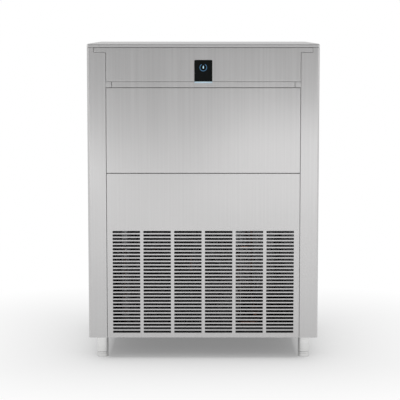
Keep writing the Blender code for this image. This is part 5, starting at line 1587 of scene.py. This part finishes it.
low, high = (Vector(corner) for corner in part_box("compressor"))
middle = (low + high) / 2
foot = Vector((middle.x, middle.y, low.z))
height = high.z - low.z
rim = height * RIM_SHARE
line = arc(LEG_HEIGHT + BOTTOM_ROUND, SHELL_RADIUS - BOTTOM_ROUND, BOTTOM_ROUND, BOTTOM_ROUND, -90, 0)
line += [(rim - RIM_HEIGHT, SHELL_RADIUS), (rim - RIM_HEIGHT + 0.001, RIM_RADIUS), (rim, RIM_RADIUS)]
line += [(rim + 0.0008, RIM_RADIUS - 0.001), (rim + 0.0008, DOME_RADIUS)]
line += arc(height - DOME_RISE, DOME_FLAT, DOME_RISE, DOME_RADIUS - DOME_FLAT, 0, 90, 12)
pot = turned(foot, line, sides=64)

plate = begin_cube(foot + Vector((-PLATE_HALF, -PLATE_HALF, PLATE_LOW)),
                   foot + Vector((PLATE_HALF, PLATE_HALF, PLATE_LOW + PLATE_WALL)))
bpy.ops.object.mode_set(mode="EDIT")
select(plate, "edges", lambda edge: along(edge, 2))
bevel(PLATE_CORNER, 6)
select(plate, "faces", lambda face: abs(face.normal.z) > 0.9)
bpy.ops.mesh.inset(thickness=PLATE_RIM, use_individual=True)
bpy.ops.object.mode_set(mode="OBJECT")

cover = begin_cube(foot + Vector(COVER_LOW), foot + Vector(COVER_HIGH))
bpy.ops.object.mode_set(mode="EDIT")
select(cover, "edges", lambda edge: not lies_at(edge, 1, foot.y + COVER_HIGH[1]))
bevel(COVER_RADIUS, 4)
bpy.ops.object.mode_set(mode="OBJECT")
join_to(pot, plate, cover)
complete(pot, "compressor_pot", black_enamel, "cabinet", ["compressor"])

grommet_line = [(0.0, 0.0085), (0.0010, 0.0105), (0.0050, 0.0105), (0.0060, 0.0080), (0.0072, 0.0080),
                (0.0082, 0.0105), (LEG_HEIGHT - 0.0022, 0.0105)]
grommet = turned(foot, grommet_line, sides=28)
bolt_line = [(LEG_HEIGHT, 0.0075), (LEG_HEIGHT + 0.0022, 0.0075), (LEG_HEIGHT + 0.0022, 0.0050),
             (LEG_HEIGHT + 0.0080, 0.0050), (LEG_HEIGHT + 0.0086, 0.0044)]
bolt = turned(foot, bolt_line, sides=6)
for model, name, material, slot in ((grommet, "grommet", black_rubber, "black_rubber"),
                                    (bolt, "plate_bolt", zinc, "zinc_steel")):
    copies = [copy_of(model, Vector((x * GROMMET_PLACE, y * GROMMET_PLACE, 0.0)))
              for x in (-1, 1) for y in (-1, 1)]
    join_to(*copies)
    complete(copies[0], "compressor_%ss" % name, material, "cabinet", ["compressor"], angle=30.0)
    bpy.data.objects.remove(model)

# %% Fan motor
SHAFT_RADIUS = 0.0038
CASE_LENGTH = 0.054
CASE_ROUND = 0.012
SEAM_FROM = 0.024
SEAM_TO = 0.022
SEAM_DEPTH = 0.0012

low, high = (Vector(corner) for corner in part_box("fan_motor"))
axis_place = ((low.x + high.x) / 2, 0.0, (low.z + high.z) / 2)
body_radius = (high.x - low.x) / 2
body_front = high.y - CASE_LENGTH
line = [(low.y, SHAFT_RADIUS), (body_front - 0.002, SHAFT_RADIUS), (body_front - 0.002, 0.012),
        (body_front, 0.013), (body_front + 0.001, 0.026)]
line += arc(body_front + CASE_ROUND, body_radius - CASE_ROUND, 0.011, CASE_ROUND, -80, 0, 6)
line += [(high.y - SEAM_FROM, body_radius), (high.y - SEAM_FROM, body_radius - SEAM_DEPTH),
         (high.y - SEAM_TO, body_radius - SEAM_DEPTH), (high.y - SEAM_TO, body_radius)]
line += arc(high.y - CASE_ROUND, body_radius - CASE_ROUND, CASE_ROUND, CASE_ROUND, 0, 85, 6)
motor = turned(axis_place, line, axis=1)
complete(motor, "motor_case", black_enamel, "cabinet", ["fan_motor"])
